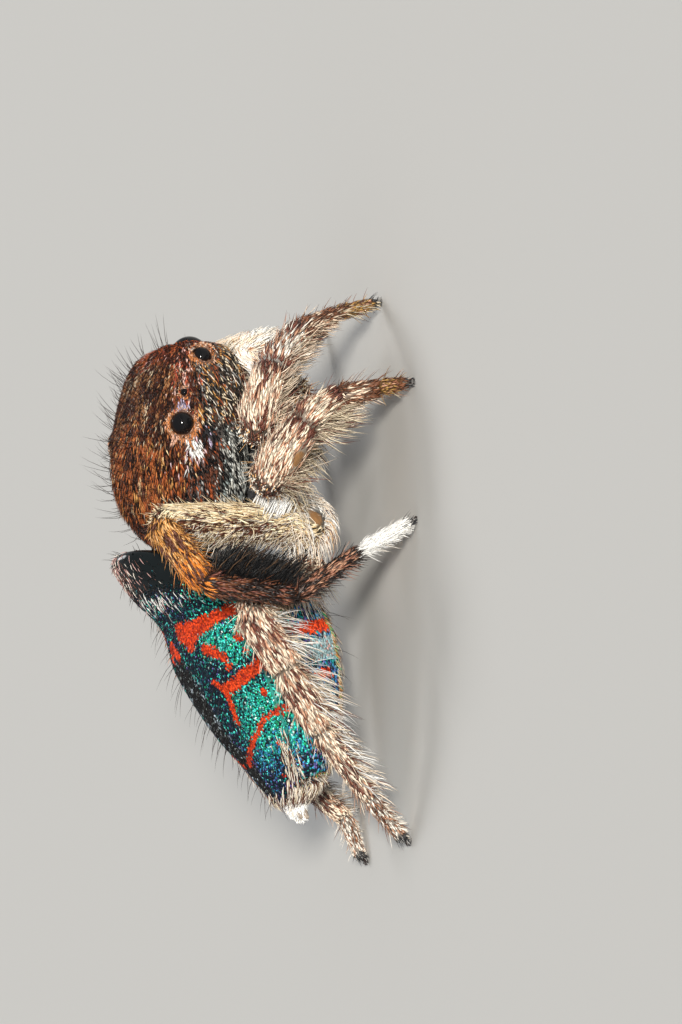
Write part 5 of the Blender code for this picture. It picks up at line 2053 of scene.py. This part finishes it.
    def bare(self, places: Array, clear: float = 1.0) -> Array:
        """How much of each place lies inside a bare spot.

        Args:
            places: Places on the leg.
            clear: How much wider than itself each spot is kept free.

        Returns:
            1 inside a spot and 0 outside.
        """
        share = np.zeros(places.shape[:-1])
        for centre, _, radius in self.spots:
            away = distance(places, centre) / (clear * radius)
            share = np.maximum(share, ramp(away, 1.10, 0.90))
        return share

    def open_spots(self, roots: Roots, out: Array, bend: Array, length: Array) -> Array:
        """Which hairs leave the bare spots open to view.

        Args:
            roots: Where the hairs leave the skin.
            out: The way each starts.
            bend: What is added to it.
            length: Their lengths.

        Returns:
            A mask.
        """
        keep = np.ones(len(roots), bool)
        for centre, normal, radius in self.spots:
            for share in (0.3, 0.6, 0.8, 1.0):
                away = roots.place + length[:, None] * (share * out + share * share * bend) - centre
                height = away @ normal
                across = np.linalg.norm(away - height[:, None] * normal, axis=1)
                keep &= (across > 1.02 * radius) | (height < -0.05) | (height > 0.6)
        return keep

    def skin_tint(self) -> Array:
        """Colours of the skin under the hair.

        Returns:
            A colour for each grid point.
        """
        looks = self.plan.looks
        mix = [k.share * np.array(k.light) + (1 - k.share) * np.array(k.dark) for k in looks]
        joint = near(np.minimum(self.share, 1.0 - self.share), 0.0, 0.07)
        tint = ((0.34 - 0.26 * joint)[:, None] * np.array(mix)[self.part])[:, None]
        bare = self.bare(self.sheet.points)[..., None]
        return (1 - bare) * tint + bare * np.array(DISC)

    def coat_tint(self, roots: Roots) -> Array:
        """Colours of the hair: rows of light and dark, dark joints, and a painted highlight at the display
        leg's knee.

        Args:
            roots: The roots.

        Returns:
            A colour for each root.
        """
        n, looks = len(roots), self.plan.looks
        part, share = self.rings_of(roots)
        spans = self.spans[part]
        place = share * spans
        pick = clumps(self.chance, part + place, 0.16 * roots.turn, 0.19, 0.034)
        light, dark, third, level = (
            np.array([getattr(look, key) for look in looks])[part]
            for key in ("light", "dark", "third", "share")
        )
        ring = near(place + 0.06, 0.0, 0.072) + near(spans - place - 0.06, 0.0, 0.066)
        ring = self.plan.ring_darkness * ring * np.where(part <= Part.FEMUR, 0.4, 1.0)
        display = float(self.plan is DISPLAY)
        stripe = near(roots.normal @ -AHEAD, 0.32, 0.20) * ramp(share, 0.10, 0.30)
        stripe = 0.62 * display * stripe * (part == Part.FEMUR)
        pale = (pick < np.clip(level - ring - stripe, 0.06, 0.96))[:, None]
        tint = np.where(pale, light, dark)
        other = (self.chance.random(n) < 0.32)[:, None]
        tint = np.where(other & pale, third, tint)
        tint = np.where(other & ~pale, 0.45 * dark, tint)
        # Painted highlight: bright orange hair at the end of the display leg's patella and the start of its
        # tibia.
        knee = (part == Part.PATELLA) * ramp(share, 0.40, 0.75)
        knee = display * (knee + (part == Part.TIBIA) * ramp(share, 0.10, 0.02))
        knee_highlight = self.chance.random(n) < 0.48 * knee
        tint = np.where(knee_highlight[:, None], np.array(HIGHLIGHT_ORANGE), tint)
        tip = (part == Part.TARSUS) & (share > 0.80)
        tint = np.where(tip[:, None], np.array(CHARCOAL), tint)
        return shaded(self.chance, tint, 0.72, 1.2, n)

    def rings_of(self, roots: Roots) -> tuple[Array, Array]:
        """The length that each root stands on and the share along it."""
        index = np.minimum(np.round(roots.row).astype(int), len(self.part) - 1)
        return self.part[index], self.share[index]

    def along(self, part: Part, low: float, high: float) -> Array:
        """A weight on one length: 0 at the low share of it and 1 at the high."""
        return ((self.part == part) * ramp(self.share, low, high))[:, None]

    def plant(self, count: int, weight: Array, clear: float = 2.1) -> Roots:
        """Roots on the leg, of which those in bare spots widened by clear are left out."""
        roots = self.sheet.plant(count, self.chance, weight)
        return roots.keep(self.chance.random(len(roots)) > self.bare(roots.place, clear))

    def lying(self) -> Batch:
        """Flat hair that lies along the leg.

        Returns:
            The hair.
        """
        count = int(self.lying_density * sum(self.plan.lengths))
        roots = self.plant(count, np.where(self.part == Part.COXA, 0.5, 1.0)[:, None], 1.0)
        n = len(roots)
        part, share = self.rings_of(roots)
        lie = roots.sway(self.chance, square_to(roots.normal, roots.along), 0.16)
        thin = np.array((0.9, 1.0, 1.0, 1.0, 0.8, 0.62))[part]
        strand = 1.0 + 0.45 * ((part == Part.FEMUR) & (self.plan is DISPLAY))
        length = self.chance.uniform(0.10, 0.19, n) * thin * strand
        length = length * (1.0 - 0.45 * ramp(share, 0.78, 1.0))
        width = self.chance.uniform(0.017, 0.027, n) * (0.5 + 0.5 * thin) / np.sqrt(strand)
        lift = self.chance.uniform(0.06, 0.32, n)
        tint = self.coat_tint(roots)
        k = self.open_spots(roots, lie, 0.0 * lie, length)
        return scales(roots.keep(k), lie[k], length[k], width[k], lift[k], tint[k], 0.16)

    def fringes(self) -> list[Batch]:
        """Long hair and fine down on the fringe side of each length.

        Returns:
            The hair.
        """
        batches = []
        for part, look in zip(Part, self.plan.looks):
            if not look.fringe_count:
                continue
            way = square_to(self.ways[part], FLOORWARD)
            if self.plan is DISPLAY and part < Part.METATARSUS:
                way = square_to(self.ways[part], self.ways[part + 1])
            facing = np.clip(self.sheet.normals @ way, 0.0, 1.0)
            body = self.along(part, 0.03, 0.14) * self.along(part, 0.99, 0.88)
            tips = [(0.62, look.fringe), (0.22, look.light), (0.16, look.dark)]
            # The black fringe is dark hair and partly painted shade in the bend of the display leg.
            if look.fringe == SOOT:
                tips = [(0.84, SOOT), (0.16, (0.10, 0.055, 0.028))]
            sparse = self.plant(look.fringe_count, facing**1.6 * body, 2.9)
            batches.append(self.fringe(sparse, look, way, 1.0, 0.0075, tips))
            down = self.plant(look.down_count, facing**0.8 * body, 2.6)
            batches.append(self.fringe(down, look, way, 0.66, 0.0038, [(1.0, look.down)]))
        return batches

    def fringe(
        self, roots: Roots, look: Look, way: Array, reach: float, radius: float, colours: Mix
    ) -> Batch:
        """Hair that hangs on one side of a length.

        Args:
            roots: Where it leaves the skin.
            look: The length's look.
            way: The side it hangs to.
            reach: Its length as a share of the look's.
            radius: Its radius at the root.
            colours: Pairs of weight and colour.

        Returns:
            The hair.
        """
        n = len(roots)
        out = 0.8 * roots.normal + 0.5 * way + 0.75 * roots.along
        # Black down points into the bend, as dark hair and partly painted shade.
        if look.down == SOOT:
            out = 0.5 * roots.normal + 1.0 * way + 0.25 * roots.along
        out = unit(out + self.chance.normal(0.0, 0.26, (n, 3)))
        bend = 0.30 * roots.along - 0.10 * way + self.chance.normal(0.0, 0.08, (n, 3))
        length = reach * look.fringe_length * self.chance.uniform(0.45, 1.20, n)
        length = np.minimum(length, roots.room(0.02, 0.03) / np.maximum(-out[:, 2], 0.15))
        tint = shaded(self.chance, choose(self.chance.random(n), colours), 0.6, 1.1, n)
        keep = self.open_spots(roots, out, bend, length)
        thick = np.full(int(keep.sum()), radius)
        return hairs(roots.keep(keep), out[keep], bend[keep], length[keep], thick, tint[keep], 0.7)

    def standing(self) -> Batch:
        """Thin hairs that stand up all over the leg.

        Returns:
            The hair.
        """
        count = int(self.standing_density * sum(self.plan.lengths))
        roots = self.plant(count, (self.part > Part.COXA)[:, None])
        n = len(roots)
        out = roots.normal + 0.9 * roots.along + self.chance.normal(0.0, 0.2, (n, 3))
        length = np.minimum(self.chance.uniform(0.08, 0.20, n), roots.room(0.02, 0.02))
        tint = self.coat_tint(roots)
        keep = self.open_spots(roots, out, 0.25 * roots.along, length)
        roots = roots.keep(keep)
        thick = np.full(len(roots), 0.0038)
        return hairs(roots, out[keep], 0.25 * roots.along, length[keep], thick, tint[keep])

    def display_hair(self) -> list[Batch]:
        """The white brush of the display leg's foot, its white tuft and the pale hair of its root.

        Returns:
            The hair.
        """
        foot = self.along(Part.TARSUS, 0.86, 0.72) + self.along(Part.METATARSUS, 0.90, 0.98)
        roots = self.plant(self.brush_count, foot)
        n = len(roots)
        out = roots.along + 0.42 * roots.normal + self.chance.normal(0.0, 0.08, (n, 3))
        length = np.minimum(self.chance.uniform(0.12, 0.17, n), roots.room(0.02, 0.03))
        radius = self.chance.uniform(0.007, 0.010, n)
        white = shaded(self.chance, WHITE, 0.9, 1.1, n)
        brush = hairs(roots, out, -0.36 * roots.normal, length, radius, white, 0.5)
        root = self.along(Part.COXA, 0.05, 0.3) + self.along(Part.FEMUR, 0.22, 0.10)
        hair = self.swirl
        roots = self.plant(hair.count, root)
        n = len(roots)
        out = 0.5 * roots.along + 0.55 * roots.normal + 0.6 * np.cross(roots.normal, roots.along)
        out = out + self.chance.normal(0.0, hair.stray, (n, 3))
        bend = 0.5 * roots.along - 0.45 * roots.normal
        length = self.chance.uniform(*hair.length, n)
        tint = choose(self.chance.random(n), hair.colours)
        radius = self.chance.uniform(*hair.radius, n)
        swirl = hairs(roots, out, bend, length, radius, tint, hair.flat)
        outward = self.side.value * RIGHT
        upper = np.clip(self.sheet.normals @ unit(0.8 * outward + AHEAD), 0.0, 1.0) ** 5
        body = near(self.share, 0.31, 0.045) * (self.part == Part.FEMUR)
        roots = self.plant(self.tuft.count, upper * body[:, None])
        out = 0.15 * roots.normal + 0.80 * outward + 0.9 * AHEAD
        tuft = self.tuft.grow(self.chance, roots, out, -0.15 * AHEAD)
        low = np.clip(self.sheet.normals @ FLOORWARD, 0.0, 1.0)
        body = self.along(Part.FEMUR, 0.30, 0.10) + self.along(Part.COXA, 0.55, 0.85)
        roots = self.plant(self.base_hair.count, (0.15 + low) * body)
        out = 0.6 * roots.normal + 0.8 * FLOORWARD - 0.25 * AHEAD
        bend = -0.60 * AHEAD - 0.50 * FLOORWARD
        base = self.base_hair.grow(self.chance, roots, out, bend, roots.room(0.05, 0.05))
        return [brush, swirl, tuft, base]

    def rear_hair(self) -> Batch:
        """Long pale hair that hangs back from the base of a rear leg.

        Returns:
            The hair.
        """
        back = np.clip(self.sheet.normals @ (-0.8 * AHEAD + 0.6 * FLOORWARD), 0.0, 1.0)
        roots = self.plant(self.root_hair.count, back * self.along(Part.FEMUR, 0.42, 0.10))
        out = 0.4 * roots.normal - 0.9 * AHEAD
        return self.root_hair.grow(self.chance, roots, out, 0.20 * FLOORWARD)

    def foot(self) -> list[Batch]:
        """The dark brush and the two claws at the tip.

        Returns:
            The brush and the claws.
        """
        roots = self.plant(self.foot_brush_count, self.along(Part.TARSUS, 0.86, 0.96))
        n = len(roots)
        tip = self.joints[-1]
        ahead = unit((tip - self.joints[-2]) * (1.0, 1.0, 0.2))
        out = 0.7 * roots.normal + 0.8 * ahead + self.chance.normal(0.0, 0.12, (n, 3))
        length = np.minimum(self.chance.uniform(0.03, 0.055, n), roots.place[:, 2] + 0.03)
        tint = choose(self.chance.random(n), [(0.6, CHARCOAL), (0.4, ASH)])
        batches = [hairs(roots, out, 0.4 * FLOORWARD, length, np.full(n, 0.0055), tint)]
        across = np.cross(ahead, FLOORWARD)
        for index, sign in enumerate((1.0, -1.0)):
            start = (tip[0], tip[1], 0.05) + 0.015 * ahead + 0.018 * sign * across
            end = start + 0.045 * ahead + 0.03 * FLOORWARD
            path, patch = np.array([start, start + 0.03 * ahead, end]), (0.5 * index, 0, 0.5, 1)
            claw = tube_sheet(path, (0.011, 0.009, 0.003), 10, 8, across, patch)
            batches.append(plain(claw, UMBER))
        return batches

    def build(self, shop: Workshop) -> None:
        """Makes the leg's skin and coat.

        Args:
            shop: What makes the pieces.
        """
        name = f"leg_{self.plan.name}_{self.side.word}"
        solids = tuple(f"{name}_{word}" for word in ("coxa", "femur", "tibia", "tarsus"))
        skin = [sheet_batch(self.sheet, self.skin_tint())]
        shop.piece(f"{name}_skin", skin, Surface.LEG_HIDE, solids)
        shop.piece(f"{name}_coat", [self.lying()], Surface.FUR)
        hair = [*self.fringes(), self.standing()]
        if self.plan is DISPLAY:
            hair += self.display_hair()
        if self.plan is REAR:
            hair.append(self.rear_hair())
        shop.piece(f"{name}_hair", hair, Surface.FUR)
        shop.piece(f"{name}_foot", self.foot(), Surface.CLAW)


@dataclass(frozen=True)
class Lamp:
    """A soft light from far away; its way is given along the picture's right, up and depth."""

    name: str
    towards: tuple[float, float, float]
    strength: float
    degrees: float
    colour: Colour


@dataclass
class Studio:
    """The floor, the lights and the camera, which looks as the photograph does."""

    # Pixels: the picture's centre, where the design origin falls in it, and its scale to 1 mm
    centre: tuple = (341.0, 512.0)
    origin: tuple = (369.0, 455.0)
    scale: float = 100.0
    elevation: float = math.radians(12.0)
    turn: float = math.radians(10.0)
    roll: float = math.radians(2.3)
    lens: float = 300.0
    sensor: float = 36.0
    distance: float = 85.3
    floor_half: float = 1.0
    floor_colour: Colour = (0.62, 0.61, 0.59)
    sky_colour: Colour = (0.86, 0.89, 0.92)
    sky_strength: float = 0.38
    lamps: tuple[Lamp, ...] = (
        Lamp("key", (-0.06, 0.13, -1.0), 4.8, 7.0, (1.0, 0.96, 0.88)),
        Lamp("fill", (0.5, -0.8, -0.6), 0.8, 40.0, (0.95, 0.97, 1.0)),
        Lamp("rim", (-1.0, 0.3, 0.7), 1.0, 25.0, (1.0, 1.0, 1.0)),
    )
    axes: Array = field(init=False)

    def __post_init__(self) -> None:
        """Finds the picture's right, up and depth directions."""
        flat = math.cos(self.elevation)
        side, down = -flat * math.sin(self.turn), -math.sin(self.elevation)
        depth = np.array((flat * math.cos(self.turn), side, down))
        up = square_to(depth, AHEAD)
        right = np.cross(depth, up)
        c, s = math.cos(self.roll), math.sin(self.roll)
        self.axes = np.array((c * right - s * up, c * up + s * right, depth))

    def camera(self) -> None:
        """Sets the camera where the photograph was taken from."""
        right, up, depth = self.axes
        x = (self.centre[0] - self.origin[0]) / self.scale
        y = (self.origin[1] - self.centre[1]) / self.scale
        data = bpy.data.cameras.new("camera")
        data.lens = self.lens
        data.sensor_width = self.sensor
        data.clip_start = 0.001
        data.clip_end = 10.0
        data.dof.use_dof = False
        place = (x * right + y * up - self.distance * depth + CENTRE_SHIFT) * MM
        turned = Matrix((right, up, -depth)).transposed().to_4x4()
        obj = stand("camera", data)
        obj.matrix_world = Matrix.Translation(Vector(place)) @ turned
        bpy.context.scene.camera = obj

    def light(self, lamp: Lamp) -> None:
        """Sets up a lamp.

        Args:
            lamp: The lamp.
        """
        data = bpy.data.lights.new(lamp.name, "SUN")
        data.energy = lamp.strength
        data.angle = math.radians(lamp.degrees)
        data.color = lamp.colour
        towards = Vector(unit(np.array(lamp.towards) @ self.axes))
        stand(lamp.name, data).rotation_euler = towards.to_track_quat("Z", "Y").to_euler()

    def floor(self) -> None:
        """Lays a plain pale floor."""
        mesh = bpy.data.meshes.new("floor")
        h = self.floor_half
        mesh.from_pydata([(-h, -h, 0.0), (h, -h, 0.0), (h, h, 0.0), (-h, h, 0.0)], [], [(0, 1, 2, 3)])
        pale = bpy.data.materials.new("pale floor")
        pale.use_nodes = True
        surface = pale.node_tree.nodes["Principled BSDF"]
        surface.inputs["Base Color"].default_value = (*self.floor_colour, 1.0)
        surface.inputs["Roughness"].default_value = 0.85
        mesh.materials.append(pale)
        stand("floor", mesh)

    def build(self) -> None:
        """Makes the floor, the lights and the camera."""
        self.floor()
        for lamp in self.lamps:
            self.light(lamp)
        world = bpy.data.worlds.new("studio")
        world.use_nodes = True
        sky = world.node_tree.nodes["Background"]
        sky.inputs["Color"].default_value = (*self.sky_colour, 1.0)
        sky.inputs["Strength"].default_value = self.sky_strength
        bpy.context.scene.world = world
        bpy.context.scene.view_settings.view_transform = "Standard"
        self.camera()


def main() -> None:
    """Builds the scene, in the order that the random draws need."""
    logging.basicConfig(level=logging.INFO, format="%(message)s")
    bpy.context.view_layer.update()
    paint = Paintbox()
    shop = Workshop({surface: surface.value.build(paint) for surface in Surface})
    Head(np.random.default_rng(SEED)).build(shop)
    Mouth(np.random.default_rng(SEED + 1)).build(shop)
    Abdomen(np.random.default_rng(SEED + 2)).build(shop)
    legs = [(plan, side) for side in Side for plan in PLANS]
    for index, (plan, side) in enumerate(legs):
        Leg(plan, side, np.random.default_rng(SEED + 3 + index)).build(shop)
    Studio().build()
    LOG.info("all pieces: %d triangles", shop.triangles)


if __name__ == "__main__":
    main()
